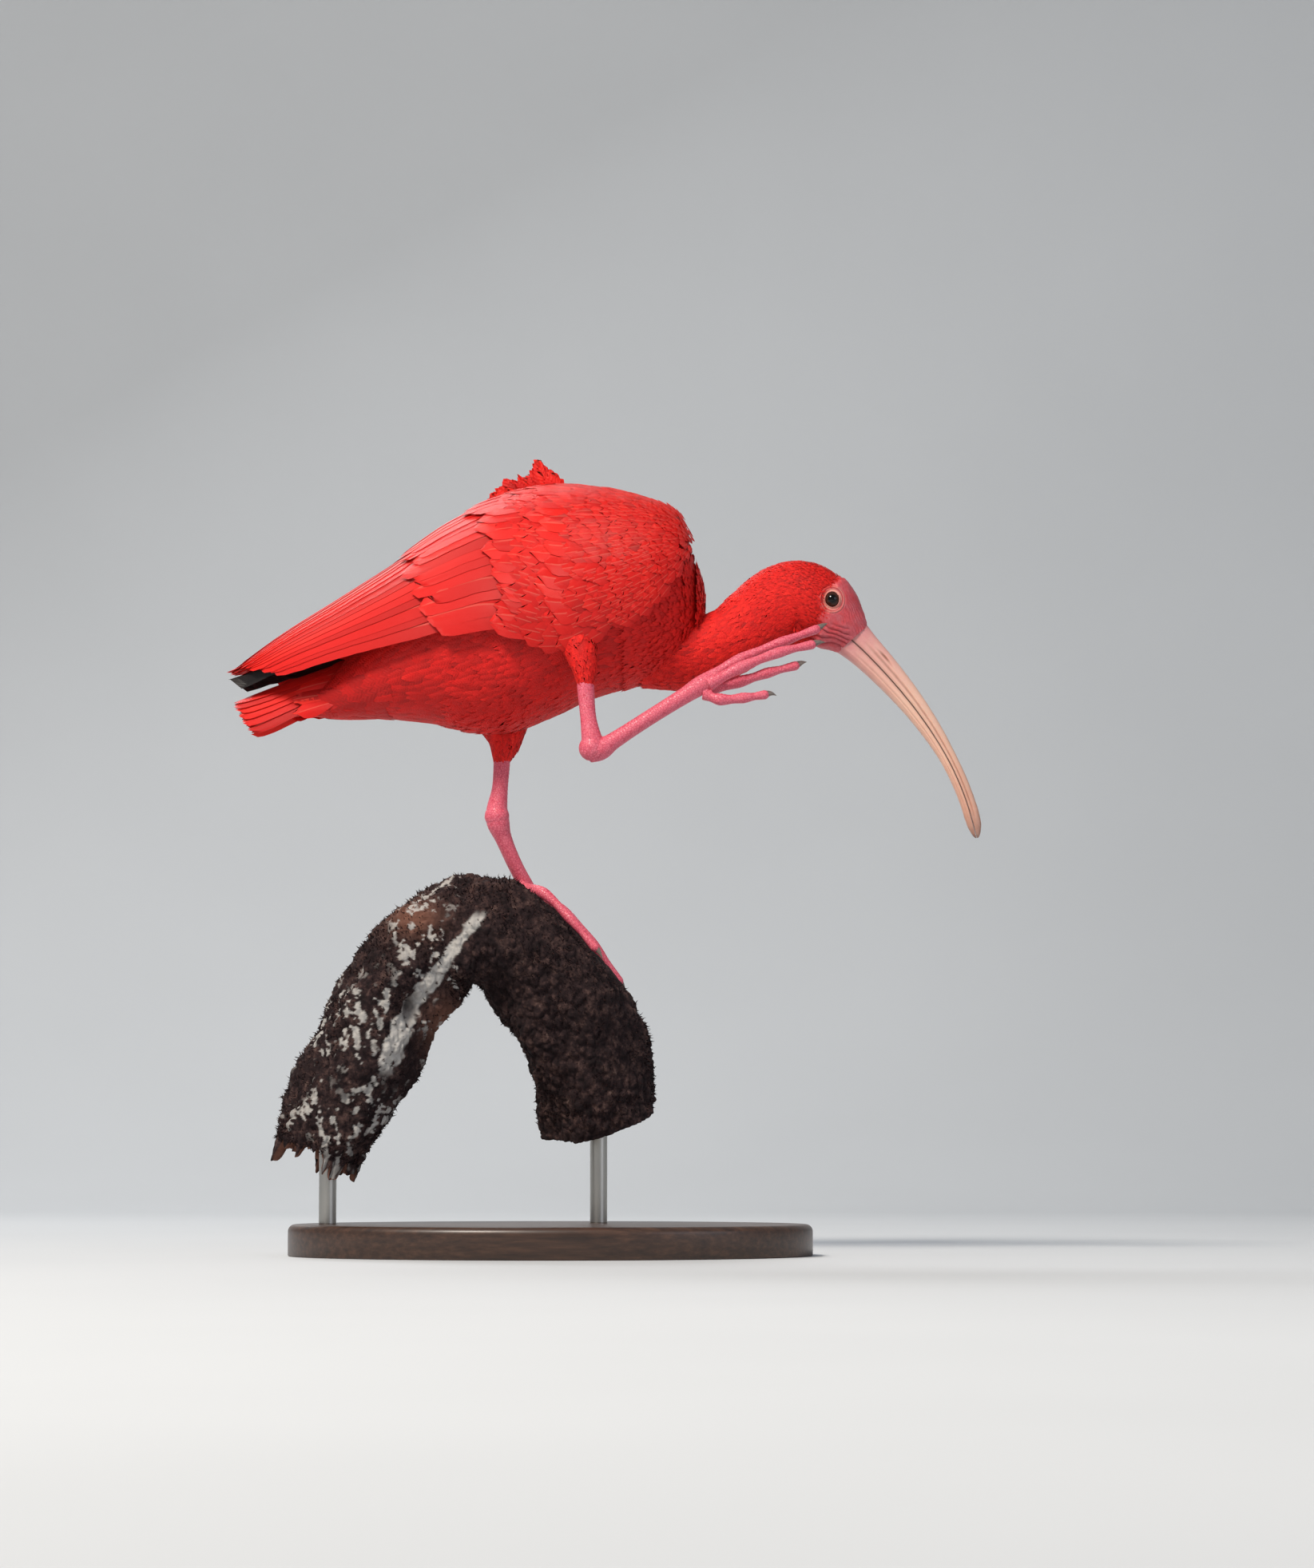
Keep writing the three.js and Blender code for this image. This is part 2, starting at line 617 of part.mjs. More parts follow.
// Toes of the scratching foot, held together, the middle one at the chin.
const raisedToes = {
  3: {
    points: [[88, -46, 326], [108, -42.5, 338], [132, -38.5, 348.5], [152, -35, 356.5]],
    claw: 7,
    drop: -1,
  },
  2: {
    points: [[90, -50, 323], [108, -50, 332.5], [130, -47, 341.5], [149, -43.5, 346.5]],
    claw: 8,
    drop: 0.5,
  },
  4: {
    points: [[90, -42, 321], [108, -38, 326], [124, -34, 331.5], [140, -31, 336]],
    claw: 7,
    drop: -0.5,
  },
  1: {
    points: [[88, -47, 318], [97, -49, 314.5], [110, -48, 315.5], [122, -46, 317.5]],
    claw: 7,
    drop: 1.5,
  },
};

// Toes of the standing foot as [t, angle] on the limb, with the toe's own radius above the bark.
const standingToes = {
  3: { spots: [[0.632, -0.62], [0.69, -0.35], [0.75, -0.08], [0.81, 0.18]], claw: 7, drop: 1.5 },
  2: { spots: [[0.63, -0.45], [0.66, -0.05], [0.7, 0.32], [0.745, 0.66]], claw: 7, drop: 1.5 },
  4: { spots: [[0.64, -0.8], [0.695, -0.78], [0.75, -0.72], [0.8, -0.66]], claw: 7, drop: 1.5 },
  1: { spots: [[0.61, -0.66], [0.57, -0.72], [0.535, -0.8]], claw: 7, drop: 1.5 },
};
const toeHeight = 2.7;

// Build

const torso = torsoSolid();
const torsoClear = torsoSolid(gap);
const rearOf = (offset) => beyond(vec(tailCut, 0, 340), vec(-1, 0, 0), offset);

const limbWood = limbSolid();
const limbClear = limbSolid(gap);

const boardSolid = solidFrom(new THREE.LatheGeometry([
  new THREE.Vector2(0, 0), new THREE.Vector2(1, 0), new THREE.Vector2(1, board.height - board.edge),
  new THREE.Vector2(1 - board.edge * 0.3 / board.halfWidth, board.height - board.edge * 0.3),
  new THREE.Vector2(1 - board.edge / board.halfWidth, board.height), new THREE.Vector2(0, board.height),
], 32).rotateX(Math.PI / 2).scale(board.halfLength, board.halfWidth, 1));
addNode('stand_base', boardSolid, finishes.board);

const rods = { broken_end: { x: -127, y: -8, top: 80 }, sawn_end: { x: 27, y: 30, top: 110 } };
for (const [name, { x, y, top }] of Object.entries(rods)) {
  const foot = board.height + gap;
  const rod = new THREE.CylinderGeometry(rodRadius, rodRadius, top - foot, 16);
  rod.rotateX(Math.PI / 2).translate(x, y, (top + foot) / 2);
  const lower = cutBy(solidFrom(rod), [limbClear]);
  const cutOff = lower.decompose().sort((a, b) => a.boundingBox().min[2] - b.boundingBox().min[2])[0];
  addNode('stand_rod_' + name, cutOff, finishes.rod);
}
addNode('perch', limbWood, finishes.bark);

const torsoFront = torso.subtract(rearOf(-gap / 2));
addNode('torso', joined([torsoFront, ...backVanes()]), finishes.plumage);
const tailCore = torso.intersect(rearOf(gap / 2));
const tailWhole = tailSolid(tailCore).intersect(rearOf(gap / 2));
addNode('tail', tailWhole, finishes.plumage);

const whole = headAndNeck();
const farSideOfNape = (offset) => beyond(nape, napeDirection, offset);
addNode('neck', cutBy(whole, [torsoClear, farSideOfNape(-gap / 2)]), finishes.plumage);
const billClear = beyond(billLine.getPoint(0), billLine.getTangent(0), -gap);
const head = joined([whole.intersect(farSideOfNape(gap / 2)), lidSolid(right), lidSolid(left)]);
addNode('head', cutBy(head, [billClear, eyeSolid(right, gap), eyeSolid(left, gap)]), finishes.plumage);
addNode('eye_right', eyeSolid(right), finishes.eye);
addNode('eye_left', eyeSolid(left), finishes.eye);
addNode('bill_upper', cutBy(billHalf(true), [nostrilCut(right), nostrilCut(left)]), finishes.bill);
addNode('bill_lower', billHalf(false), finishes.bill);

const thighTube = (leg, grow = 0) => ovalTube(leg.thigh, { sides: 14, rings: 8, grow });
for (const [name, wingSide] of [['right', right], ['left', left]]) {
  const wing = cutBy(wingSolid(wingSide), [torsoClear, tailWhole, thighTube(legs[name], gap)]);
  addNode('wing_' + name, wing, finishes.plumage);
}

for (const [name, leg] of Object.entries(legs)) {
  const ankle = leg.tarsus[0];
  const foot = leg.tarsus.at(-1);
  const knobAt = (grow) => ball(ankle, [knob.radius + grow, knob.halfWidth + grow, knob.radius + grow]);
  const padAt = (grow) => ball(foot, [pad.radius + grow, pad.radius + grow, pad.halfHeight + grow]);
  const shankTube = (grow) => tubeOf(leg.shank, shankRadii.map((radius) => radius + grow));
  const tarsusAt = (grow) => joined([tubeOf(leg.tarsus, tarsusRadii, { grow }), padAt(grow)]);
  addNode('thigh_' + name, cutBy(thighTube(leg), [torsoClear]), finishes.plumage);
  const shank = cutBy(joined([shankTube(0), knobAt(0)]), [thighTube(leg, gap)]);
  addNode('shank_' + name, shank, finishes.bareSkin);
  const shankClear = joined([shankTube(gap), knobAt(gap)]);
  addNode('tarsus_' + name, cutBy(tarsusAt(0), [shankClear, limbClear]), finishes.bareSkin);

  const toes = name === 'right' ? raisedToes : standingToes;
  const cleared = [tarsusAt(gap), limbClear];
  for (const number of [3, 2, 4, 1]) {
    const { points, spots, claw, drop } = toes[number];
    const joints = points ?? spots.map(([t, angle]) => onLimb(t, angle, toeHeight).toArray());
    addNode(`toe_${name}_${number}`, cutBy(toeSolid(joints), cleared), finishes.bareSkin);
    addNode(`claw_${name}_${number}`, cutBy(clawSolid(joints, claw, drop), cleared), finishes.claw);
    cleared.push(toeSolid(joints, gap), clawSolid(joints, claw, drop, gap));
  }
}

export default model;
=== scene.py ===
import math

import bpy
import mathutils
import numpy as np
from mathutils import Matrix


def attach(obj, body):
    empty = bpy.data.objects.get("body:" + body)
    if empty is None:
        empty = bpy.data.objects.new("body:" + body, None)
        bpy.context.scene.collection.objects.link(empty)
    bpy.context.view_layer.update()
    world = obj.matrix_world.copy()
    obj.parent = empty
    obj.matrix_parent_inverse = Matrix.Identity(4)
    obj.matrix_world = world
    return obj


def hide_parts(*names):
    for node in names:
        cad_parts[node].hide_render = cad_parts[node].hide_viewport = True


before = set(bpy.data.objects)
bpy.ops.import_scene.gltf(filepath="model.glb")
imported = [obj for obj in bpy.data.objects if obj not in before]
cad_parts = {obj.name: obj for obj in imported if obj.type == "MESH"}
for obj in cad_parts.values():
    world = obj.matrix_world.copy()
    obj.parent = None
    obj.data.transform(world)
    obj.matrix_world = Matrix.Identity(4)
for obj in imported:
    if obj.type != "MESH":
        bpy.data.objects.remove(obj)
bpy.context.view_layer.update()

# Scarlet ibis on a branch stub. Shapes are worked out in millimetres in the part's own frame: the bird faces +X,
# its left is +Y, up is +Z. makePiece turns them to metres.
mm = 0.001
right, left = -1, 1
noTriangles = np.zeros((0, 3), int)


# Numbers and curves

def along(keys):
    # Smooth function through [x, value, ...] keys: cubic pieces, each key's slope taken from its two neighbours.
    table = np.array(keys, float)
    xs, ys = table[:, 0], table[:, 1:]
    before, after = np.maximum(np.arange(len(xs)) - 1, 0), np.minimum(np.arange(len(xs)) + 1, len(xs) - 1)
    slopes = (ys[after] - ys[before]) / (xs[after] - xs[before])[:, None]

    def value(x):
        x = np.clip(np.asarray(x, float), xs[0], xs[-1])
        i = np.clip(np.searchsorted(xs, x, side="right") - 1, 0, len(xs) - 2)
        width = xs[i + 1] - xs[i]
        t = ((x - xs[i]) / width)[..., None]
        w = width[..., None]
        made = (ys[i] * (2 * t**3 - 3 * t**2 + 1) + slopes[i] * w * (t**3 - 2 * t**2 + t)
                + ys[i + 1] * (3 * t**2 - 2 * t**3) + slopes[i + 1] * w * (t**3 - t**2))
        return made[..., 0] if ys.shape[1] == 1 else made
    return value


def unit(vectors):
    # Each vector over its own length
    return vectors / np.maximum(np.linalg.norm(vectors, axis=-1, keepdims=True), 1e-12)


def ease(x, low, high):
    # 0 below low, 1 above high, smooth between
    t = np.clip((np.asarray(x, float) - low) / (high - low), 0, 1)
    return t * t * (3 - 2 * t)


def fullTurn(count):
    # Angles once round a section, as a row
    return np.linspace(0, 2 * math.pi, count, endpoint=False)[None, :]


def lattice(corner, seed):
    # One random number from 0 to 1 for each whole-number corner: the fraction of a large sine
    x, y, z = corner[..., 0], corner[..., 1], corner[..., 2]
    h = np.sin(x * 127.1 + y * 311.7 + z * 74.7 + seed * 17.3) * 43758.5453
    return h - np.floor(h)


def noise(points, size, seed=0):
    # Value noise from -1 to 1: random numbers at the corners of cells of the given size, blended smoothly.
    p = np.asarray(points) / size
    base = np.floor(p)
    f = p - base
    f = f * f * (3 - 2 * f)
    total = 0
    for cx in (0, 1):
        for cy in (0, 1):
            for cz in (0, 1):
                weight = (np.where(cx, f[..., 0], 1 - f[..., 0]) * np.where(cy, f[..., 1], 1 - f[..., 1])
                          * np.where(cz, f[..., 2], 1 - f[..., 2]))
                total = total + weight * lattice(base + (cx, cy, cz), seed)
    return total * 2 - 1


def cells(points, size, seed=0):
    # Cell noise: 0 on the borders between scattered cells of the given size, about 1 at their middles.
    p = np.asarray(points) / size
    base = np.floor(p)
    nearest = np.full(p.shape[:-1], 9.0)
    second = nearest.copy()
    for cx in (-1, 0, 1):
        for cy in (-1, 0, 1):
            for cz in (-1, 0, 1):
                cell = base + (cx, cy, cz)
                seedPoint = cell + 0.15 + 0.7 * np.stack([lattice(cell, seed + k) for k in (1, 2, 3)], -1)
                distance = np.linalg.norm(seedPoint - p, axis=-1)
                second = np.minimum(second, np.maximum(nearest, distance))
                nearest = np.minimum(nearest, distance)
    return np.clip(second - nearest, 0, 1)


# Meshes

def gridQuads(rows, columns, closed=False):
    # Quads of a grid of rows by columns points; closed joins the last column to the first
    r = np.arange(rows - 1)[:, None]
    c = np.arange(columns if closed else columns - 1)[None, :]
    n = (c + 1) % columns
    return np.stack(np.broadcast_arrays(r * columns + c, r * columns + n, (r + 1) * columns + n,
                                        (r + 1) * columns + c), -1).reshape(-1, 4)


def makePiece(name, shell, material, paint=None, maps=None):
    # shell is points in mm, quads and triangles. paint is 3 numbers a point, kept as the attribute "paint". maps
    # holds UVs, one pair a point.
    mesh = bpy.data.meshes.new(name)
    points, quads, triangles = shell
    points = np.asarray(points, np.float32).reshape(-1, 3) * mm
    corners = np.concatenate([quads.ravel(), triangles.ravel()]).astype(np.int32)
    starts = np.concatenate([np.arange(len(quads)) * 4, len(quads) * 4 + np.arange(len(triangles)) * 3])
    mesh.vertices.add(len(points))
    mesh.vertices.foreach_set("co", points.ravel())
    mesh.loops.add(len(corners))
    mesh.loops.foreach_set("vertex_index", corners)
    mesh.polygons.add(len(starts))
    mesh.polygons.foreach_set("loop_start", starts.astype(np.int32))
    mesh.update(calc_edges=True)
    mesh.validate()
    mesh.shade_smooth()
    for mapName, uv in (maps or {}).items():
        layer = mesh.uv_layers.new(name=mapName)
        layer.data.foreach_set("uv", np.asarray(uv, np.float32).reshape(-1, 2)[corners].ravel())
    if paint is not None:
        colour = np.ones((len(points), 4), np.float32)
        colour[:, :3] = np.asarray(paint).reshape(-1, 3)
        mesh.attributes.new("paint", "FLOAT_COLOR", "POINT").data.foreach_set("color", colour.ravel())
    mesh.materials.append(material)
    piece = bpy.data.objects.new(name, mesh)
    bpy.context.scene.collection.objects.link(piece)
    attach(piece, "root")
    return piece


def closedTube(rings):
    # rings (rows, columns, 3) as points, quads and end fans whose middles are the mean of each end ring
    rows, columns = rings.shape[:2]
    points = np.concatenate([rings.reshape(-1, 3), rings[0].mean(0)[None], rings[-1].mean(0)[None]])
    k = np.arange(columns)
    n = (k + 1) % columns
    lastRing = (rows - 1) * columns
    fans = np.concatenate([np.stack([np.full(columns, len(points) - 2), n, k], -1),
                           np.stack([np.full(columns, len(points) - 1), lastRing + k, lastRing + n], -1)])
    return points, gridQuads(rows, columns, closed=True), fans


def joinedShells(shells):
    # Several closed shells as one mesh
    points, quads, triangles, offset = [], [], [], 0
    for shellPoints, shellQuads, shellTriangles in shells:
        points.append(shellPoints)
        quads.append(shellQuads + offset)
        triangles.append(shellTriangles + offset)
        offset += len(shellPoints)
    return np.concatenate(points), np.concatenate(quads), np.concatenate(triangles)


def outwards(shell, flip):
    # Turns every face of a shell round where flip is true
    points, quads, triangles = shell
    return (points, quads[:, ::-1], triangles[:, ::-1]) if flip else shell


def tube(stations, up=(0, 0, 1), byIndex=False):
    # An oval tube through [x, y, z, half height, half width] stations. Gives point(u, angle, grow), u from 0 to 1
    # by length or by station: centre + over * (h + grow) * cos(angle) + side * (w + grow) * sin(angle).
    table = np.array([[*s, s[3]] if len(s) == 4 else s for s in stations], float)
    lengths = np.concatenate([[0], np.cumsum(np.linalg.norm(np.diff(table[:, :3], axis=0), axis=1))])
    steps = np.linspace(0, 1, len(table)) if byIndex else lengths / lengths[-1]
    line = along(np.column_stack([steps, table]))
    upward = np.array(up, float)

    def point(u, angle, grow=0.0):
        u, angle = np.broadcast_arrays(np.asarray(u, float), np.asarray(angle, float))
        here = line(u)
        ahead = unit(line(np.clip(u + 0.01, 0, 1))[..., :3] - line(np.clip(u - 0.01, 0, 1))[..., :3])
        over = unit(upward - ahead * (ahead @ upward)[..., None])
        side = np.cross(ahead, over)
        high = (here[..., 3] + grow) * np.cos(angle)
        wide = (here[..., 4] + grow) * np.sin(angle)
        return here[..., :3] + over * high[..., None] + side * wide[..., None]
    return {"point": point, "outward": -1, "length": lengths[-1], "line": line}


def tubeShell(made, rows, columns, grow=0.0):
    # A tube's own surface as a closed shell, swollen by grow
    u = np.linspace(0, 1, rows)[:, None]
    angle = fullTurn(columns)
    return closedTube(made["point"](u, angle, grow))


# Materials

def linear(hexColour):
    # sRGB hex to linear RGBA
    parts = np.array([int(hexColour[i:i + 2], 16) / 255 for i in (1, 3, 5)])
    return (*np.where(parts <= 0.04045, parts / 12.92, ((parts + 0.055) / 1.055) ** 2.4), 1.0)


def addNode(tree, kind, settings=None):
    # Adds a node and gives back its outputs. Each setting is a property, an input's value or hex colour, another
    # node's output to link to an input, or a colour ramp's stops as [position, hex colour].
    node = tree.nodes.new(kind)
    for key, value in (settings or {}).items():
        if key == "stops":
            elements = node.color_ramp.elements
            while len(elements) < len(value):
                elements.new(1.0)
            for element, (position, colour) in zip(elements, value):
                element.position, element.color = position, linear(colour)
        elif isinstance(value, bpy.types.NodeSocket):
            tree.links.new(value, node.inputs[key])
        elif isinstance(key, str) and hasattr(node, key):
            setattr(node, key, value)
        else:
            node.inputs[key].default_value = linear(value) if isinstance(value, str) else value
    return node.outputs


def startMaterial(name, settings):
    # A material with its shader's inputs set, and the Object coordinates that its patterns read
    material = bpy.data.materials.new(name)
    material.use_nodes = True
    tree = material.node_tree
    shader = tree.nodes["Principled BSDF"]
    for key, value in settings.items():
        shader.inputs[key].default_value = value
    return material, tree, shader, addNode(tree, "ShaderNodeTexCoord")["Object"]


def paintParts(tree):
    # The three numbers that a piece keeps at each point in its attribute "paint"
    paint = addNode(tree, "ShaderNodeAttribute", {"attribute_name": "paint"})["Color"]
    return addNode(tree, "ShaderNodeSeparateColor", {"Color": paint})


def featherMaterial(name, colours, barbs, roughness=0.62, shaftShare=0.0):
    # Carotenoid-red feather keratin: matt, a little sheen from the barbules, fine barbs slanting from the shaft.
    # paint holds a feather's own tone, with painted shade toward its root and on the body's underside, and its
    # black. barbs is how many waves of barbs show along a feather, fewer and coarser than real ones, which are too
    # fine to show.
    material, tree, shader, place = startMaterial(name, {
        "Roughness": roughness, "IOR": 1.54, "Sheen Weight": 0.1, "Sheen Roughness": 0.4,
        "Sheen Tint": linear("#FF6A55"), "Specular IOR Level": 0.3})
    parts = paintParts(tree)
    red = addNode(tree, "ShaderNodeValToRGB", {
        "Fac": parts["Red"], "stops": [[0.0, colours["deep"]], [0.5, colours["red"]], [1.0, colours["bright"]]]})[0]
    patch = addNode(tree, "ShaderNodeTexNoise", {"Vector": place, "Scale": 1 / (28 * mm), "Detail": 2.0,
                                                 "Roughness": 0.6})["Fac"]
    share = addNode(tree, "ShaderNodeMath", {"operation": "MULTIPLY", 0: patch, 1: 0.22})[0]
    worn = addNode(tree, "ShaderNodeMix", {"data_type": "RGBA", 0: share, 6: red, 7: colours["bright"]})[2]
    vane = addNode(tree, "ShaderNodeUVMap", {"uv_map": "vane"})["UV"]
    axes = addNode(tree, "ShaderNodeSeparateXYZ", {"Vector": vane})
    centred = addNode(tree, "ShaderNodeMath", {"operation": "SUBTRACT", 0: axes["Y"], 1: 0.5})[0]
    aside = addNode(tree, "ShaderNodeMath", {"operation": "ABSOLUTE", 0: centred})[0]
    alongVane = addNode(tree, "ShaderNodeMath", {"operation": "MULTIPLY", 0: axes["X"], 1: barbs})[0]
    swept = addNode(tree, "ShaderNodeMath", {"operation": "MULTIPLY", 0: aside, 1: barbs * 0.35})[0]
    slant = addNode(tree, "ShaderNodeMath", {"operation": "SUBTRACT", 0: alongVane, 1: swept})[0]
    turns = addNode(tree, "ShaderNodeMath", {"operation": "MULTIPLY", 0: slant, 1: 2 * math.pi})[0]
    waves = addNode(tree, "ShaderNodeMath", {"operation": "SINE", 0: turns})[0]
    shaft = addNode(tree, "ShaderNodeMath", {"operation": "GREATER_THAN", 0: 0.035, 1: aside})[0]
    low = addNode(tree, "ShaderNodeMath", {"operation": "MULTIPLY", 0: waves, 1: 0.5})[0]
    relief = addNode(tree, "ShaderNodeMath", {"operation": "ADD", 0: low, 1: shaft})[0]
    shaftPart = addNode(tree, "ShaderNodeMath", {"operation": "MULTIPLY", 0: shaft, 1: shaftShare})[0]
    lined = addNode(tree, "ShaderNodeMix", {"data_type": "RGBA", 0: shaftPart, 6: worn, 7: colours["shaft"]})[2]
    tipped = addNode(tree, "ShaderNodeMix", {"data_type": "RGBA", 0: parts["Green"], 6: lined,
                                             7: colours["black"]})[2]
    raised = addNode(tree, "ShaderNodeBump", {"Height": relief, "Strength": 0.35, "Distance": 0.0004})[0]
    tree.links.new(tipped, shader.inputs["Base Color"])
    tree.links.new(raised, shader.inputs["Normal"])
    return material


scarlet = {"deep": "#A00808", "red": "#DA100C", "bright": "#F2281A", "black": "#120C0E", "shaft": "#F58A74"}


def skinMaterial():
    # Living skin: red under the feathers, bare and pinkish red on the face, finely wrinkled and slightly moist.
    # paint holds the bare share, the pale ring round the eye with a painted highlight on the ridge outside it, and
    # painted shade in the folds at the gape and the crease round the eye, with a darker patch before the eye.
    material, tree, shader, place = startMaterial("bareFaceSkin", {
        "Roughness": 0.46, "IOR": 1.4, "Subsurface Weight": 0.15, "Subsurface Scale": 0.002,
        "Specular IOR Level": 0.45})
    parts = paintParts(tree)
    fine = addNode(tree, "ShaderNodeTexNoise", {"Vector": place, "Scale": 1 / (1.8 * mm), "Detail": 4.0,
                                                "Roughness": 0.6})["Fac"]
    pink = addNode(tree, "ShaderNodeMix", {"data_type": "RGBA", 0: fine, 6: "#B5333C", 7: "#DE7880"})[2]
    broad = addNode(tree, "ShaderNodeTexNoise", {"Vector": place, "Scale": 1 / (7 * mm), "Detail": 2.0,
                                                 "Roughness": 0.6})["Fac"]
    patches = addNode(tree, "ShaderNodeValToRGB", {"Fac": broad, "stops": [[0.42, "#000000"], [0.6, "#FFFFFF"]]})[0]
    share = addNode(tree, "ShaderNodeMath", {"operation": "MULTIPLY", 0: patches, 1: 0.45})[0]
    mottled = addNode(tree, "ShaderNodeMix", {"data_type": "RGBA", 0: share, 6: pink, 7: "#D4353A"})[2]
    # Pale ring on the lids, and a painted highlight on the ridge outside it
    ringed = addNode(tree, "ShaderNodeMix", {"data_type": "RGBA", 0: parts["Green"], 6: mottled, 7: "#E9AE9D"})[2]
    # Painted shade in the folds and the crease round the eye, and a darker patch before the eye
    folded = addNode(tree, "ShaderNodeMix", {"data_type": "RGBA", 0: parts["Blue"], 6: ringed, 7: "#8E1F2B"})[2]
    whole = addNode(tree, "ShaderNodeMix", {"data_type": "RGBA", 0: parts["Red"], 6: "#C41713", 7: folded})[2]
    pores = addNode(tree, "ShaderNodeTexVoronoi", {"Vector": place, "feature": "DISTANCE_TO_EDGE",
                                                   "Scale": 1 / (0.9 * mm)})["Distance"]
    raised = addNode(tree, "ShaderNodeBump", {"Height": pores, "Strength": 0.5, "Distance": 0.0003})[0]
    tree.links.new(whole, shader.inputs["Base Color"])
    tree.links.new(raised, shader.inputs["Normal"])
    return material


def legMaterial():
    # Horny scales over pink-red skin: satin, paler on the scales' middles, darker between them.
    material, tree, shader, place = startMaterial("scalyLegSkin", {
        "Roughness": 0.38, "IOR": 1.45, "Subsurface Weight": 0.12, "Subsurface Scale": 0.0015,
        "Specular IOR Level": 0.5})
    tone = addNode(tree, "ShaderNodeTexNoise", {"Vector": place, "Scale": 1 / (5 * mm), "Detail": 3.0,
                                                "Roughness": 0.6})["Fac"]
    scales = addNode(tree, "ShaderNodeMix", {"data_type": "RGBA", 0: tone, 6: "#DC5268", 7: "#E97F90"})[2]
    plates = addNode(tree, "ShaderNodeTexVoronoi", {"Vector": place, "feature": "DISTANCE_TO_EDGE",
                                                    "Scale": 1 / (1.5 * mm)})["Distance"]
    seam = addNode(tree, "ShaderNodeMapRange", {"Value": plates, "From Max": 0.12})["Result"]
    seamed = addNode(tree, "ShaderNodeMix", {"data_type": "RGBA", 0: seam, 6: "#C43E56", 7: scales})[2]
    raised = addNode(tree, "ShaderNodeBump", {"Height": seam, "Strength": 0.45, "Distance": 0.00025})[0]
    tree.links.new(seamed, shader.inputs["Base Color"])
    tree.links.new(raised, shader.inputs["Normal"])
    return material


def billMaterial():
    # Keratin bill: satin horn, pink at the base, straw-coloured, browner at the tip, with painted shade in the nasal
    # groove, the nostril and along the mouth line. paint holds the place from base to tip and that painted shade.
    material, tree, shader, place = startMaterial("billKeratin", {
        "Roughness": 0.36, "IOR": 1.54, "Subsurface Weight": 0.1, "Subsurface Scale": 0.002})
    parts = paintParts(tree)
    horn = addNode(tree, "ShaderNodeValToRGB", {"Fac": parts["Red"], "stops": [
        [0.0, "#C9707A"], [0.08, "#DB9A92"], [0.3, "#E6B6A0"], [0.6, "#E3AF96"], [0.86, "#C98F77"],
        [1.0, "#8A5647"]]})[0]
    # Painted shade in the grooves, the nostril and along the mouth line
    shadedHorn = addNode(tree, "ShaderNodeMix", {"data_type": "RGBA", 0: parts["Green"], 6: horn, 7: "#8F5248"})[2]
    fine = addNode(tree, "ShaderNodeTexNoise", {"Vector": place, "Scale": 1 / (3 * mm), "Detail": 4.0,
                                                "Roughness": 0.6})["Fac"]
    flecks = addNode(tree, "ShaderNodeMath", {"operation": "MULTIPLY", 0: fine, 1: 0.35})[0]
    flecked = addNode(tree, "ShaderNodeMix", {"data_type": "RGBA", 0: flecks, 6: shadedHorn, 7: "#F3D3BF"})[2]
    grain = addNode(tree, "ShaderNodeTexNoise", {"Vector": place, "Scale": 1 / (0.8 * mm), "Detail": 3.0,
                                                 "Roughness": 0.6})["Fac"]
    raised = addNode(tree, "ShaderNodeBump", {"Height": grain, "Strength": 0.3, "Distance": 0.0002})[0]
    tree.links.new(flecked, shader.inputs["Base Color"])
    tree.links.new(raised, shader.inputs["Normal"])
    return material


def clawMaterial():
    # Claw horn: dark grey-brown, smooth, a little translucent at its edge.
    material, tree, shader, place = startMaterial("clawHorn", {
        "Roughness": 0.3, "IOR": 1.54, "Subsurface Weight": 0.05})
    tone = addNode(tree, "ShaderNodeTexNoise", {"Vector": place, "Scale": 1 / (1.5 * mm), "Detail": 3.0,
                                                "Roughness": 0.6})["Fac"]
    horn = addNode(tree, "ShaderNodeMix", {"data_type": "RGBA", 0: tone, 6: "#4A4340", 7: "#83796F"})[2]
    tree.links.new(horn, shader.inputs["Base Color"])
    return material


def eyeMaterial():
    # Wet cornea over a dark brown iris and a black pupil, which paint's red marks from the middle outward.
    material, tree, shader, _ = startMaterial("wetEye", {
        "Roughness": 0.03, "IOR": 1.376, "Specular IOR Level": 0.3, "Coat Weight": 0.25, "Coat Roughness": 0.02})
    iris = addNode(tree, "ShaderNodeValToRGB", {"Fac": paintParts(tree)["Red"], "stops": [
        [0.0, "#040303"], [0.44, "#050303"], [0.5, "#2A150C"], [0.8, "#3D2115"], [1.0, "#1C0E0A"]]})[0]
    tree.links.new(iris, shader.inputs["Base Color"])
    return material


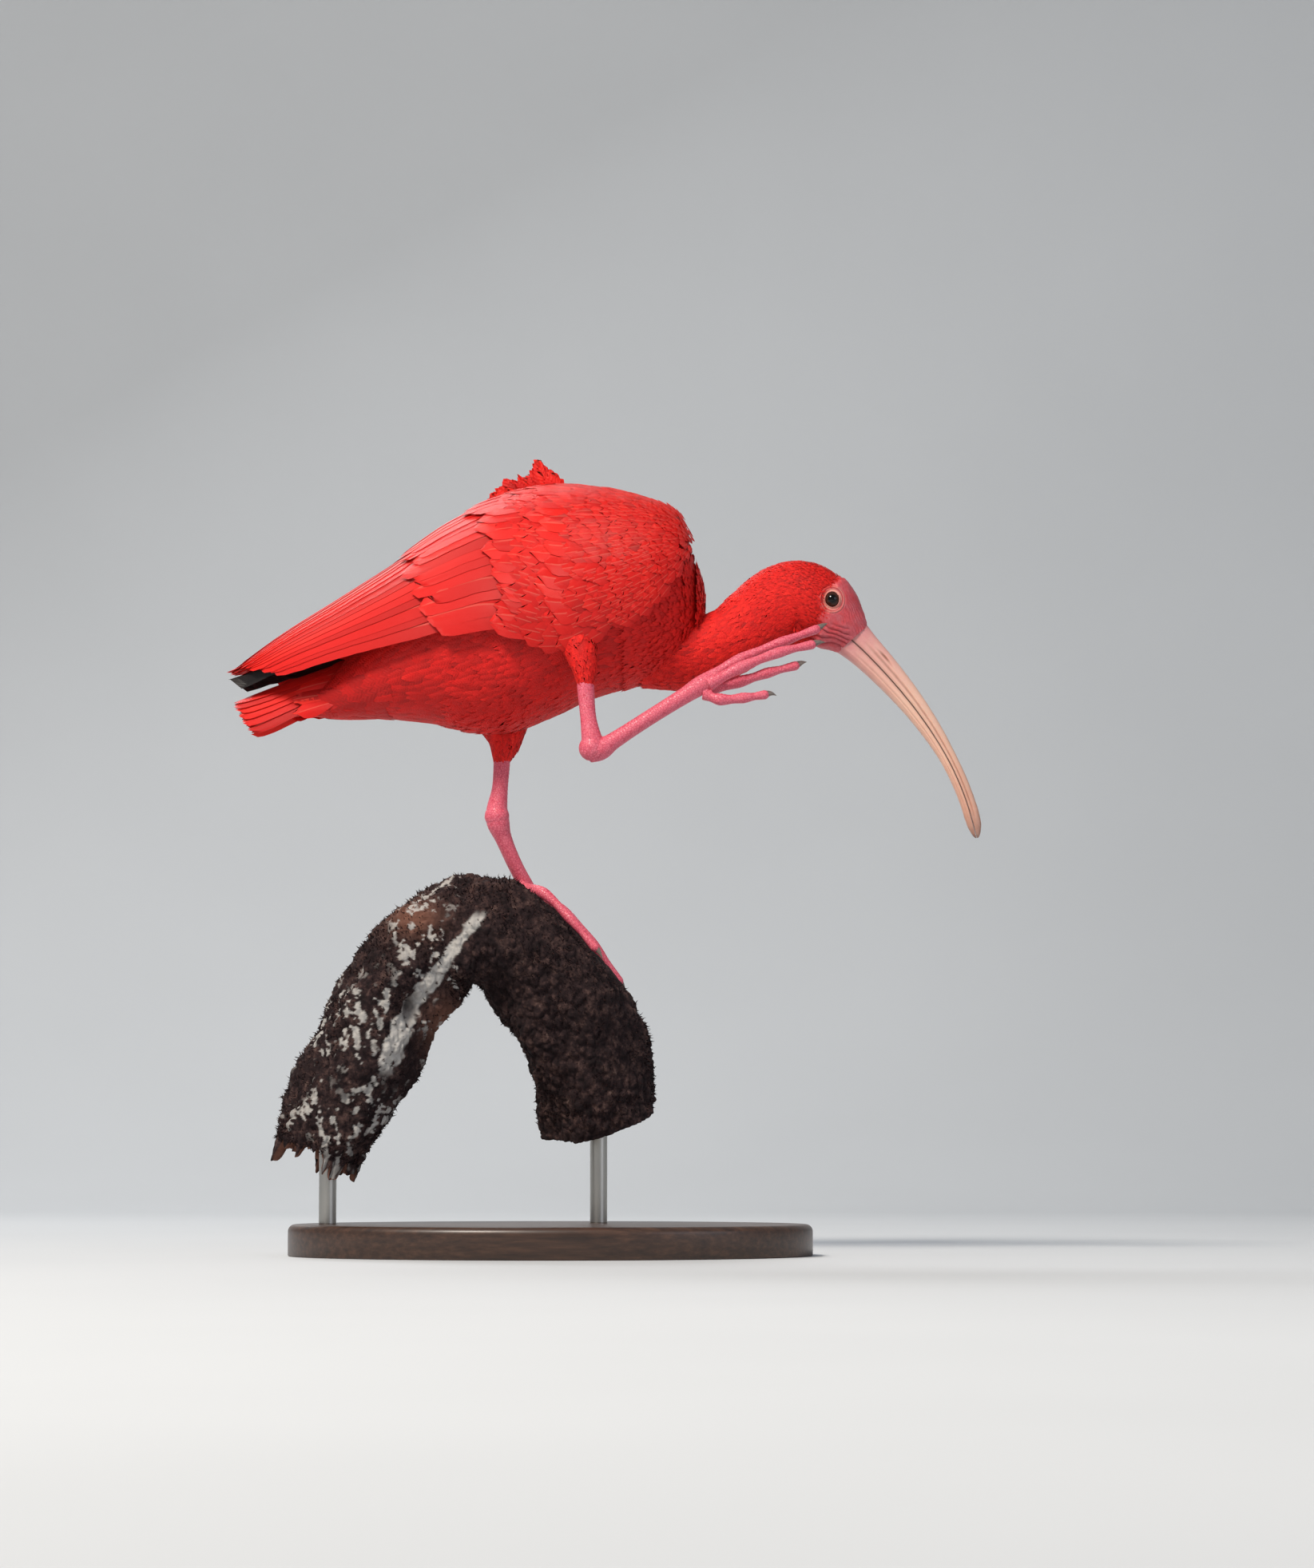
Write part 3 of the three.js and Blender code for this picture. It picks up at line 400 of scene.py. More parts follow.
def barkMaterial():
    # Weathered mangrove bark: near-black crust, reddish-brown wood where it has split, grey-white lichen crust.
    # paint holds the pale share and the bare wood's share.
    material, tree, shader, place = startMaterial("mossyBark", {
        "Roughness": 0.9, "IOR": 1.45, "Specular IOR Level": 0.25})
    parts = paintParts(tree)
    crustNoise, woodNoise, paleNoise, grit = [
        addNode(tree, "ShaderNodeTexNoise", {"Vector": place, "Scale": 1 / (size * mm), "Detail": detail,
                                             "Roughness": rough})["Fac"]
        for size, detail, rough in ((7, 8.0, 0.75), (4, 5.0, 0.6), (3, 5.0, 0.6), (2.2, 8.0, 0.7))]
    crust = addNode(tree, "ShaderNodeValToRGB", {"Fac": crustNoise, "stops": [
        [0.32, "#0E090B"], [0.5, "#2B1E1F"], [0.62, "#4F3B37"], [0.74, "#7E6B63"]]})[0]
    split = addNode(tree, "ShaderNodeMix", {"data_type": "RGBA", 0: woodNoise, 6: "#5B3529", 7: "#8A6354"})[2]
    wood = addNode(tree, "ShaderNodeMix", {"data_type": "RGBA", 0: parts["Green"], 6: crust, 7: split})[2]
    pale = addNode(tree, "ShaderNodeMix", {"data_type": "RGBA", 0: paleNoise, 6: "#8F8B88", 7: "#D6D2CC"})[2]
    whole = addNode(tree, "ShaderNodeMix", {"data_type": "RGBA", 0: parts["Red"], 6: wood, 7: pale})[2]
    raised = addNode(tree, "ShaderNodeBump", {"Height": grit, "Strength": 0.8, "Distance": 0.0012})[0]
    tree.links.new(whole, shader.inputs["Base Color"])
    tree.links.new(raised, shader.inputs["Normal"])
    return material


def mossMaterial():
    # Dry dark moss and liverwort: matt, purplish brown-black, tips a little browner. paint's red is a blade's tone.
    material, tree, shader, _ = startMaterial("dryMoss", {"Roughness": 0.95, "Specular IOR Level": 0.15})
    tone = addNode(tree, "ShaderNodeValToRGB", {"Fac": paintParts(tree)["Red"], "stops": [
        [0.0, "#140D10"], [0.6, "#2E1D1E"], [0.92, "#4C302B"], [1.0, "#6B4A3C"]]})[0]
    tree.links.new(tone, shader.inputs["Base Color"])
    return material


def boardMaterial():
    # Dark-stained beech board with a satin lacquer: straight fine grain along X.
    material, tree, shader, place = startMaterial("stainedBeech", {
        "Roughness": 0.42, "IOR": 1.5, "Coat Weight": 0.25, "Coat Roughness": 0.25})
    grainWay = addNode(tree, "ShaderNodeMapping", {"Vector": place, "Scale": (4, 60, 60)})["Vector"]
    grain = addNode(tree, "ShaderNodeTexNoise", {"Vector": grainWay, "Scale": 6.0, "Detail": 6.0,
                                                 "Roughness": 0.65})["Fac"]
    tone = addNode(tree, "ShaderNodeValToRGB", {"Fac": grain, "stops": [
        [0.3, "#2A1B14"], [0.5, "#3F2A1F"], [0.7, "#553A2B"]]})[0]
    raised = addNode(tree, "ShaderNodeBump", {"Height": grain, "Strength": 0.12, "Distance": 0.0004})[0]
    tree.links.new(tone, shader.inputs["Base Color"])
    tree.links.new(raised, shader.inputs["Normal"])
    return material


def rodMaterial():
    # Brushed stainless steel rod: fine turning marks round it.
    material, tree, shader, place = startMaterial("brushedSteel", {
        "Metallic": 1.0, "Roughness": 0.32, "Base Color": linear("#B9B6B0")})
    turned = addNode(tree, "ShaderNodeMapping", {"Vector": place, "Scale": (30, 30, 1500)})["Vector"]
    marks = addNode(tree, "ShaderNodeTexNoise", {"Vector": turned, "Scale": 1.0, "Detail": 3.0})["Fac"]
    raised = addNode(tree, "ShaderNodeBump", {"Height": marks, "Strength": 0.15, "Distance": 0.0001})[0]
    tree.links.new(raised, shader.inputs["Normal"])
    return material


def floorMaterial():
    # Pale matt studio paper
    material, tree, shader, place = startMaterial("studioPaper", {"Roughness": 0.85, "Specular IOR Level": 0.2})
    tone = addNode(tree, "ShaderNodeTexNoise", {"Vector": place, "Scale": 1 / (400 * mm), "Detail": 2.0,
                                                "Roughness": 0.6})["Fac"]
    paper = addNode(tree, "ShaderNodeMix", {"data_type": "RGBA", 0: tone, 6: "#C6C9CC", 7: "#CDD0D3"})[2]
    tree.links.new(paper, shader.inputs["Base Color"])
    return material


smallFeather = featherMaterial("contourFeather", scarlet, 9)
largeFeather = featherMaterial("flightFeather", scarlet, 70, 0.5, 0.22)
downFeather = featherMaterial("velvetFeather", scarlet, 5, 0.7)
print("materials made")


# Feathers

def fromFrame(surface, u, v):
    # Place, flow and outward normal on a surface: differences of point(u, v) along u and v, crossed.
    du, dv = surface.get("stepU", 0.5), surface.get("stepV", 0.01)
    point = surface["point"]
    alongU = (point(u + du, v) - point(u - du, v)) / (2 * du)
    alongV = (point(u, v + dv) - point(u, v - dv)) / (2 * dv)
    normal = unit(np.cross(alongU, alongV)) * surface["outward"]
    return point(u, v), alongU, alongV, normal


def scatter(surface, low, high, rowStep, columnStep, rng, turn=(0, 2 * math.pi)):
    # Staggered rows of places on a surface, steps in mm, shaken a little so that no row shows.
    unitLength = surface.get("unitLength", 1.0)  # mm for each unit of u
    us, vs = [], []
    for i, u in enumerate(np.arange(low, high, rowStep / unitLength)):
        ring = surface["point"](np.full(60, u), np.linspace(*turn, 60))
        around = np.linalg.norm(np.diff(ring, axis=0), axis=1).sum()
        count = max(int(around / columnStep), 2)
        v = turn[0] + (np.arange(count) + 0.5 * (i % 2) + rng.uniform(-0.35, 0.35, count)) / count * (turn[1] - turn[0])
        us.append(u + rng.uniform(-0.45, 0.45, count) * rowStep / unitLength)
        vs.append(v)
    return np.concatenate(us), np.concatenate(vs)


def plume(surface, u, v, length, width, rng, height=-2.4, lift=0.1, sway=0.12, flow=-1, rows=4, columns=4,
          ragged=0.16, cup=0.25, uneven=0.4):
    # One small feather at each (u, v): a vane along the flow, widest past its middle, its tip ragged:
    # place + ahead * length * a + across * width / 2 * outline(a) * b + normal * (height + lift * length * a - bend).
    # length, width, height and lift may be one number or one a feather. Returns grid points and their a and b.
    n = len(u)
    place, alongU, _, normal = fromFrame(surface, u, v)
    ahead = unit(alongU) * flow
    across = np.cross(ahead, normal)
    turned = rng.normal(0, sway, n)[:, None]
    ahead = unit(ahead + across * turned)
    ahead = unit(ahead - normal * (ahead * normal).sum(-1, keepdims=True))
    across = np.cross(ahead, normal)
    a = np.linspace(0, 1, rows + 1)[None, :, None]
    b = np.linspace(-1, 1, columns + 1)[None, None, :]
    outline = along([[0, 0.35], [0.25, 0.75], [0.6, 1.0], [0.85, 0.8], [1, 0.3]])(a)
    length, width, height, lift = [np.broadcast_to(np.asarray(value, float), (n,))[:, None, None]
                                   for value in (length, width, height, lift)]
    length = length * rng.uniform(0.85, 1.12, (n, 1, 1))
    width = width * rng.uniform(0.9, 1.1, (n, 1, 1))
    lift = lift * rng.uniform(1 - uneven, 1 + uneven, (n, 1, 1))
    reach = a * (1 + ragged * rng.uniform(-1, 0.6, (n, 1, columns + 1)) * ease(a, 0.5, 1) - 0.12 * b**2 * a)
    bend = surface.get("bend", 60.0)
    rise = height + lift * length * reach - (length * reach) ** 2 / (2 * bend) - cup * width / 2 * (b * outline) ** 2
    aside = width / 2 * outline * b
    points = (place[:, None, None] + ahead[:, None, None] * (length * reach)[..., None]
              + across[:, None, None] * aside[..., None] + normal[:, None, None] * rise[..., None])
    return points, np.broadcast_to(a, points.shape[:3]), np.broadcast_to(b, points.shape[:3])


def coatPiece(name, parts, material, tone=(0.5, 0.16), seed=0):
    # Joins groups of feathers, each {points, a, b, bakeU, bakeV} and perhaps dark, into one piece. Each feather is a
    # patch 0.003 across at its root's place on the map OFBake.
    rng = np.random.default_rng(seed)
    pointSets, quadSets, paintSets, bakeSets, vaneSets, offset = [], [], [], [], [], 0
    for part in parts:
        points, a, b = part["points"], part["a"], part["b"]
        n, rows, columns = points.shape[:3]
        quads = gridQuads(rows, columns)[None] + (np.arange(n) * rows * columns)[:, None, None] + offset
        own = np.clip(rng.normal(*tone, (n, 1, 1)) + part.get("tone", 0.0), 0, 1)
        dark = part.get("dark", np.zeros(points.shape[:3]))
        # Each feather is painted darker toward its root, where it lies under the feathers before it, and a little
        # lighter toward its tip: painted shade
        toneAndRootShade = np.clip(own - 0.22 * (1 - a) + 0.1 * a, 0, 1)
        pointSets.append(points.reshape(-1, 3))
        quadSets.append(quads.reshape(-1, 4))
        paintSets.append(np.stack(np.broadcast_arrays(toneAndRootShade, dark, a), -1).reshape(-1, 3))
        bakeU = np.clip(part["bakeU"], 0.004, 0.996)[:, None, None] + 0.003 * (a - 0.5)
        bakeV = np.clip(part["bakeV"], 0.004, 0.996)[:, None, None] + 0.0015 * b
        bakeSets.append(np.stack([bakeU, bakeV], -1).reshape(-1, 2))
        vaneSets.append(np.stack([a, b / 2 + 0.5], -1).reshape(-1, 2))
        offset += n * rows * columns
    shell = np.concatenate(pointSets), np.concatenate(quadSets), noTriangles
    piece = makePiece(name, shell, material, np.concatenate(paintSets),
                      {"OFBake": np.concatenate(bakeSets), "vane": np.concatenate(vaneSets)})
    print(name, len(piece.data.polygons) * 2, "triangles")
    return piece


def vanes(surface, root, tip, width, rng, rows=12, columns=8, roll=0.0, camber=0.5, thickness=0.35, ragged=0.03,
          outline=None):
    # Large feathers on a surface of (x, v): each runs from root (x, v, height) to tip and follows the surface's
    # curve. Its points are P(x, v) + N * (height + roll * (v off its shaft) + camber * (1 - b * b)). A ring of the
    # upper face and the lower face makes each one a closed thin shell.
    root, tip = np.asarray(root, float), np.asarray(tip, float)
    n = len(root)
    shape = along(outline or [[0, 0.45], [0.15, 0.7], [0.45, 0.96], [0.75, 1.0], [0.9, 0.88], [0.97, 0.6], [1, 0.1]])
    a = np.linspace(0, 1, rows + 1)[None, :, None]
    b = np.linspace(-1, 1, columns + 1)[None, None, :]
    middle = root[:, None] + (tip - root)[:, None] * a  # (n, rows, 3)
    x, v, height = [middle[..., k] for k in range(3)]
    place, alongX, alongV, normal = fromFrame(surface, x, v)
    ahead = unit(np.gradient(place, axis=1))
    across = unit(np.cross(ahead, normal))
    reachX = (across * alongX).sum(-1) / (alongX**2).sum(-1)
    reachV = (across * alongV).sum(-1) / (alongV**2).sum(-1)
    uneven = rng.uniform(-ragged, ragged, (n, rows + 1, columns + 1)) * np.abs(b) ** 3
    aside = np.reshape(width, (-1, 1, 1)) / 2 * shape(a) * (b + uneven)
    pv = np.maximum(v[..., None] + aside * reachV[..., None], surface.get("upperLimit", -1e9))
    px = x[..., None] + aside * reachX[..., None]
    slide = rng.uniform(-1, 0.4, (n, 1, columns + 1)) * ragged * ease(a, 0.6, 1)  # a ragged tip
    px = px + slide * np.reshape(tip[:, 0] - root[:, 0], (-1, 1, 1))
    surfacePoint, _, _, surfaceNormal = fromFrame(surface, px, pv)
    rise = height[..., None] + roll * (pv - v[..., None]) + camber * (1 - b**2) * shape(a)
    half = thickness / 2 * (1 - ease(a, 0.85, 1)) * np.ones_like(rise)
    top = surfacePoint + surfaceNormal * (rise + half)[..., None]
    bottom = surfacePoint + surfaceNormal * (rise - half)[..., None]
    points = np.concatenate([top, bottom[:, :, ::-1], top[:, :, :1]], axis=2)
    aAll = np.broadcast_to(a, points.shape[:3])
    bAll = np.broadcast_to(np.concatenate([b, b[..., ::-1], b[..., :1]], -1), points.shape[:3])
    return points, aAll, bAll


# Body lines, in mm: heights and half widths along X, as in the solids

torsoTop = along([[-152, 317], [-135, 330], [-118, 347], [-100, 366], [-80, 389], [-50, 420], [-20, 438],
                  [10, 442], [40, 438], [64, 427], [80, 409], [88, 388]])
torsoBottom = along([[-152, 311], [-135, 308.5], [-118, 307], [-97, 307], [-69, 304], [-41, 299], [-18, 301],
                     [5, 310], [25, 319], [51, 327], [70, 333], [82, 343], [88, 356]])
torsoHalfWidth = along([[-152, 7], [-135, 14], [-118, 22], [-100, 30], [-80, 38], [-50, 47], [-20, 52],
                        [10, 53], [40, 49], [64, 40], [80, 26], [88, 13]])
coverTop = along([[-184, 337], [-156, 359], [-120, 383], [-87, 405], [-60, 425], [-32, 439], [0, 446], [32, 444],
                  [60, 437], [76, 429], [86, 414]])
coverMiddle = along([[-184, 331], [-156, 340], [-120, 346], [-87, 354], [-60, 363], [-32, 371], [0, 377],
                     [32, 380], [60, 384], [86, 392]])
coverHalfWidth = along([[-184, 11], [-156, 23], [-120, 34], [-87, 45], [-60, 52], [-32, 57], [0, 59], [32, 56],
                        [60, 47], [76, 37], [86, 24]])
wingLower = along([[-184, 332], [-152, 343], [-115, 351], [-78, 355], [-41, 358], [-18, 353], [7, 347], [25, 353],
                   [55, 369], [72, 386], [80, 400], [86, 411]])
backStrip = along([[-184, 0.6], [-90, 1], [-50, 5], [0, 7], [60, 9], [86, 12]])


def torsoPoint(x, angle, grow=0.0):
    # (x, width * sin(angle), middle + half height * cos(angle))
    high, low = torsoTop(x) + grow, torsoBottom(x) - grow
    return np.stack(np.broadcast_arrays(x, (torsoHalfWidth(x) + grow) * np.sin(angle),
                                        (high + low) / 2 + (high - low) / 2 * np.cos(angle)), -1)


torsoSurface = {"point": torsoPoint, "outward": 1, "bend": 75.0}


def insideTorso(points, grow=0.0):
    # True where a point lies in the torso: y^2 / half width^2 + (z - middle)^2 / half height^2 < 1 at that x
    x, y, z = points[..., 0], points[..., 1], points[..., 2]
    high, low = torsoTop(x) + grow, torsoBottom(x) - grow
    ring = (y / (torsoHalfWidth(x) + grow)) ** 2 + ((z - (high + low) / 2) / ((high - low) / 2)) ** 2
    return (ring < 1) & (x < 88 + grow) & (x > -152)


def coverPoint(x, v, wingSide):
    # A point of the folded wings' cover: v runs from the upper edge, 0, to the lower edge, 1.
    middle, low = coverMiddle(x), torsoBottom(x)
    upper = np.arcsin(backStrip(x) / coverHalfWidth(x))
    z = wingLower(x)
    reachDown = np.where(z > middle, coverTop(x) - middle, middle - low)
    lower = np.arccos(np.clip((z - middle) / reachDown, -1, 1))
    angle = upper + v * (lower - upper)
    reach = np.where(angle < math.pi / 2, coverTop(x) - middle, middle - low)
    return np.stack([x + 0 * v, wingSide * coverHalfWidth(x) * np.sin(angle), middle + reach * np.cos(angle)], -1)


def wingSurface(wingSide):
    # One side's cover as a surface of (x, v) that feathers lie on
    return {"point": lambda x, v: coverPoint(x, v, wingSide), "outward": wingSide, "upperLimit": 0.0, "bend": 70.0}


neck = tube([[58, -1, 352, 28, 24], [84, -4, 347, 23.5, 21], [104, -7, 354, 22, 19], [119, -9, 365, 23.5, 18],
             [133, -11, 374, 25, 18], [146, -12, 376, 25, 18.5], [158, -12, 369, 22.5, 17.5],
             [168, -12, 360, 16.5, 13.5], [174, -12, 353.5, 11.5, 9]])
neckSurface = {"point": neck["point"], "outward": -1, "stepU": 0.005, "unitLength": neck["length"], "bend": 22.0}
eye = {"x": 161.5, "z": 375.0, "middleY": -12.0, "depth": 12.4, "radius": 5.0, "open": 4.5}
thighs = {
    right: tube([[4, -34, 368, 15, 12], [14, -42, 352, 13, 11], [19, -47, 336, 9.5, 9], [20.5, -48.5, 322, 6, 6]],
                up=(1, 0, 0)),
    left: tube([[-30, 22, 330, 22, 17], [-29, 20, 312, 18, 15], [-28, 17, 298, 12, 11], [-29.5, 15.5, 287, 7, 7]],
               up=(1, 0, 0)),
}
sideName = {right: "right", left: "left"}


# Skin: one mesh of the bird's flesh. It lies under the feathers and is bare on the face.

skin = {"underFeathers": 3.0, "neckRows": 520, "neckColumns": 320, "lidHeight": 0.9, "foldDepth": 0.9, "foldStep": 3.1}


def eyePolar(points):
    # Distance from the eye's middle in the side view over the lid opening's own radius there, the distance
    # itself in mm, and the side
    side = np.sign(points[..., 1] - eye["middleY"])
    dx, dz = points[..., 0] - eye["x"], points[..., 2] - eye["z"]
    turned = np.arctan2(dz, dx)
    opening = eye["open"] * (1 - 0.1 * np.cos(turned) ** 2)
    return np.hypot(dx, dz) / opening, np.hypot(dx, dz), side


def bareShare(points):
    # 1 on the bare face, 0 in the feathers: in front of a line that runs from the forehead down behind the eye to
    # the gape and on under the chin, broken up by noise
    x, z = points[..., 0], points[..., 2]
    edge = along([[335, 150], [346, 147], [354, 150], [362, 154], [368, 155], [375, 154.5], [381, 158], [388, 165],
                  [398, 172]])(z)
    return ease(x + noise(points, 2.2, 5) * 1.6, edge - 2.5, edge + 6.0)


def neckRelief(points):
    # Sink under the feathers; on the face lid ring, socket and folds:
    # y = blend of the socket, the rim of the lids and the cheek; then creases as waves along the gape.
    q, r, side = eyePolar(points)
    bare = bareShare(points)
    ball = eye["depth"] + np.sqrt(np.maximum(eye["radius"] ** 2 - r**2, 0.5))
    cheek = np.abs(points[..., 1] - eye["middleY"])
    rim = ball + skin["lidHeight"]
    crease = (-0.5 * np.exp(-((q - 1.5) / 0.09) ** 2) - 0.35 * np.exp(-((q - 1.85) / 0.1) ** 2)
              + 0.35 * np.exp(-((q - 1.68) / 0.1) ** 2))
    out = np.where(q < 1.12, rim + (ball - 3.5 - rim) * (1 - ease(q, 0.86, 1.02)),
                   rim + (cheek - rim) * ease(q, 1.12, 1.75)) + crease * (q > 1.12)
    nearEye = (q < 2.2) & (cheek > 5)
    made = points.copy()
    made[..., 1] = np.where(nearEye, eye["middleY"] + side * out, points[..., 1])
    return made, bare, q


def headSkin():
    # The neck's and head's oval tube, less the coat's depth where it is feathered; on the bare face each point also
    # moves outward by folds at the gape, wrinkles and lumps. Rings crowd on the face.
    rows, columns = skin["neckRows"], skin["neckColumns"]
    s = np.linspace(0, 1, rows)
    u = along([[0, 0.05], [0.3, 0.66], [0.9, 0.97], [1, 1]])(s)[:, None]
    angle = fullTurn(columns)
    outer = neck["point"](u, angle)
    bare = bareShare(outer)
    points = neck["point"](u, angle, -skin["underFeathers"] * 0.8 * (1 - bare))
    points, bare, q = neckRelief(points)
    x, z = points[..., 0], points[..., 2]
    gape = ease(x, 148, 154) * ease(-z, -364, -356) * (1 - ease(x, 170, 174))
    across = z + 0.32 * x + noise(points, 9, 2) * 2.6 + noise(points, 3, 11) * 0.5
    folds = -skin["foldDepth"] * (1 - np.abs(np.sin(math.pi * across / skin["foldStep"])) ** 0.7) * gape
    lore = ease(x, 160, 166) * ease(-z, -378, -366) * (1 - gape)
    wrinkles = -0.22 * np.abs(np.sin(math.pi * (x + 0.5 * z + noise(points, 4, 3)) / 1.7)) * bare * ease(q, 1.8, 2.2)
    outward = unit(points - neck["line"](u)[..., :3])
    lumps = noise(points, 3.0, 4) * 0.18 * bare * ease(q, 1.5, 2.0)
    points = points + outward * (folds + wrinkles * (0.4 + lore) + lumps)[..., None]
    # The pale ring on the lids, and a painted highlight on the ridge between the creases round the eye
    paleRingAndRidgeHighlight = np.exp(-((q - 1.15) / 0.22) ** 2) * 0.85 + 0.35 * np.exp(-((q - 1.7) / 0.15) ** 2)
    # Painted shade in the troughs of the gape's folds and in the crease round the eye, and a darker patch in front of
    # the eye
    dark = np.clip(-folds / skin["foldDepth"] * 0.9 * gape + 0.5 * np.exp(-((q - 1.5) / 0.12) ** 2)
                   + 0.3 * ease(x, 164, 172) * ease(z, 362, 374), 0, 1)
    shell = closedTube(points)
    ends = np.array([[0, 0, 0], [1, 0, 0.3]])
    return shell, np.concatenate([np.stack([bare, paleRingAndRidgeHighlight, dark], -1).reshape(-1, 3), ends])


def torsoSkin():
    # The torso's section carried along X, less the coat's depth
    x = np.linspace(-150, 85, 110)[:, None]
    angle = fullTurn(90)
    return outwards(closedTube(torsoPoint(x, angle, -skin["underFeathers"])), True)


def wingPad(wingSide):
    # The folded wing's own flesh and feather bases: a flat closed pad under the cover, thinner to the rear
    x = np.linspace(-118, 82, 80)[:, None]
    turn = fullTurn(96)
    v = 0.5 + 0.48 * np.cos(turn)
    surface = wingSurface(wingSide)
    place, _, _, normal = fromFrame(surface, x + 0 * v, v + 0 * x)
    depth = -3.4 - 3.0 * (np.sin(turn) < 0) * ease(x, -118, -90)
    points = place + normal * (depth + 0.4 * np.sin(turn))[..., None]
    return outwards(closedTube(points), wingSide == right)


shells = [torsoSkin(), wingPad(right), wingPad(left)]
shells += [tubeShell(thighs[side], 40, 48, -2.0) for side in (right, left)]
head, headPaint = headSkin()
flesh = joinedShells([head, *shells])
fleshPaint = np.zeros((len(flesh[0]), 3))
fleshPaint[:len(headPaint)] = headPaint
birdSkin = makePiece("birdSkin", flesh, skinMaterial(), fleshPaint)
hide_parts("torso", "neck", "head", "thigh_right", "thigh_left")
print("skin", len(birdSkin.data.polygons))


# Eyes

def eyeBall(eyeSide):
    # A sphere of the eye's radius round the Y axis: r * (sin(p) cos(a), cos(p), sin(p) sin(a))
    polar = np.linspace(0, math.pi, 64)[:, None]
    turn = fullTurn(64)
    r = eye["radius"]
    cornea = 0.25 * np.exp(-(polar / 0.5) ** 2)
    points = np.stack(np.broadcast_arrays((r + cornea) * np.sin(polar) * np.cos(turn),
                                          eyeSide * (r + cornea) * np.cos(polar),
                                          (r + cornea) * np.sin(polar) * np.sin(turn)), -1)
    points = points + np.array([eye["x"], eye["middleY"] + eyeSide * eye["depth"], eye["z"]])
    paint = np.stack(np.broadcast_arrays(polar, 0 * polar, 0 * turn), -1)
    shell = outwards(closedTube(points), eyeSide == left)
    ends = np.array([[0, 0, 0], [3.14, 0, 0]])
    return shell, np.concatenate([np.clip(paint, 0, 1).reshape(-1, 3), np.clip(ends, 0, 1)])


cornea = eyeMaterial()
for eyeSide in (right, left):
    shell, paint = eyeBall(eyeSide)
    ball = makePiece("eyeBall_" + sideName[eyeSide], shell, cornea, paint)
    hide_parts("eye_" + sideName[eyeSide])
print("eyes")


# Bill

bill = {"start": (173.6, -12, 354.2), "bend": (234.7, -14, 295.6), "tip": (244.5, -15, 238.5), "mouth": 0.57,
        "grooveDepth": 0.75, "rows": 260, "columns": 72}
billDepth = along([[0, 22.5], [0.09, 19.5], [0.25, 16], [0.42, 12.7], [0.6, 9.8], [0.8, 9], [0.93, 8.2], [1, 3.4]])
billWidth = along([[0, 15], [0.12, 12.5], [0.5, 8], [0.8, 6.6], [0.93, 6], [1, 3]])


def billFrame(t):
    # Point, over and side on the quadratic curve (1-t)^2 A + 2t(1-t) B + t^2 C
    a, b, c = (np.array(bill[key], float) for key in ("start", "bend", "tip"))
    t = t[..., None]
    ahead = unit(2 * (1 - t) * (b - a) + 2 * t * (c - b))
    over = unit(np.array([0, 0, 1.0]) - ahead * ahead[..., 2:])
    return (1 - t) ** 2 * a + 2 * t * (1 - t) * b + t**2 * c, over, np.cross(ahead, over)


def billHalf(upper):
    # Half oval section over the mouth line: over * (mouth + reach * sin(a)^0.8) + side * width / 2 * cos(a); the
    # nasal groove is pressed into each flank of the upper half, and the tip is rounded off.
    t = np.linspace(-0.035, 1, bill["rows"])[:, None]
    count = bill["columns"]
    turn = np.concatenate([np.linspace(0, 1, count), np.linspace(1, 0, count // 3)[1:-1]])[None, :]
    topShare = np.concatenate([np.ones(count), np.zeros(count // 3 - 2)])[None, :]
    centre, over, side = billFrame(t + 0 * turn)
    angle = turn * math.pi
    rounding = np.sqrt(np.clip(1 - ((t - 0.975) / 0.025).clip(0, 1) ** 2, 0.02, 1))
    depth = billDepth(t) * (0.35 + 0.65 * rounding) * (1 + 0.06 * ease(-t, -0.05, 0.03))
    width = billWidth(t) / 2 * rounding
    mouth = depth * (0.5 - bill["mouth"]) + (0.12 if upper else -0.12)
    reach = depth / 2 - mouth if upper else depth / 2 + mouth
    sign = 1 if upper else -1
    high = np.sin(angle) ** 0.8
    grooveAt = 0.36 if upper else 0.5
    groove = np.exp(-((high - grooveAt) / 0.07) ** 2) * topShare * ease(t, 0.02, 0.12) * (1 - ease(t, 0.8, 0.97))
    press = groove * bill["grooveDepth"] * (1.0 if upper else 0.35)
    ridge = 0.25 * np.exp(-((high - grooveAt - 0.14) / 0.07) ** 2) * topShare * (1 - ease(t, 0.7, 0.95))
    hole = np.zeros_like(groove)
    if upper:
        hole = np.exp(-(((t - 0.13) / 0.028) ** 2 + ((high - 0.62) / 0.055) ** 2)) * topShare  # the nostril
    cut = 1 - (press - ridge + 1.6 * hole) / np.maximum(width, 1)
    lower = np.abs(np.cos(angle)) ** 1.5 * 0.35 * (1 - topShare)
    points = (centre + over * (mouth + sign * (reach * high * topShare + lower))[..., None]
              + side * (width * np.cos(angle) * cut)[..., None])
    points = points + over * (noise(points, 2.5, 6) * 0.06)[..., None]
    shell = outwards(closedTube(points), not upper)
    # Painted shade in the nasal groove, the nostril, the flat face along the mouth line and the edges at the mouth line
    dark = np.clip(groove * (0.75 if upper else 0.4) + hole * 1.3 + (1 - topShare) * 0.6
                   + 0.5 * np.exp(-(high / 0.12) ** 2), 0, 1)
    paint = np.stack(np.broadcast_arrays(np.clip(t, 0, 1), dark, 0 * t), -1).reshape(-1, 3)
    return shell, np.concatenate([paint, [[0, 0, 0], [1, 0, 0]]])


keratin = billMaterial()
for name, upper in (("bill_upper", True), ("bill_lower", False)):
    shell, paint = billHalf(upper)
    half = makePiece("billUpper" if upper else "billLower", shell, keratin, paint)
    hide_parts(name)
print("bill")


# Perch: the branch stub

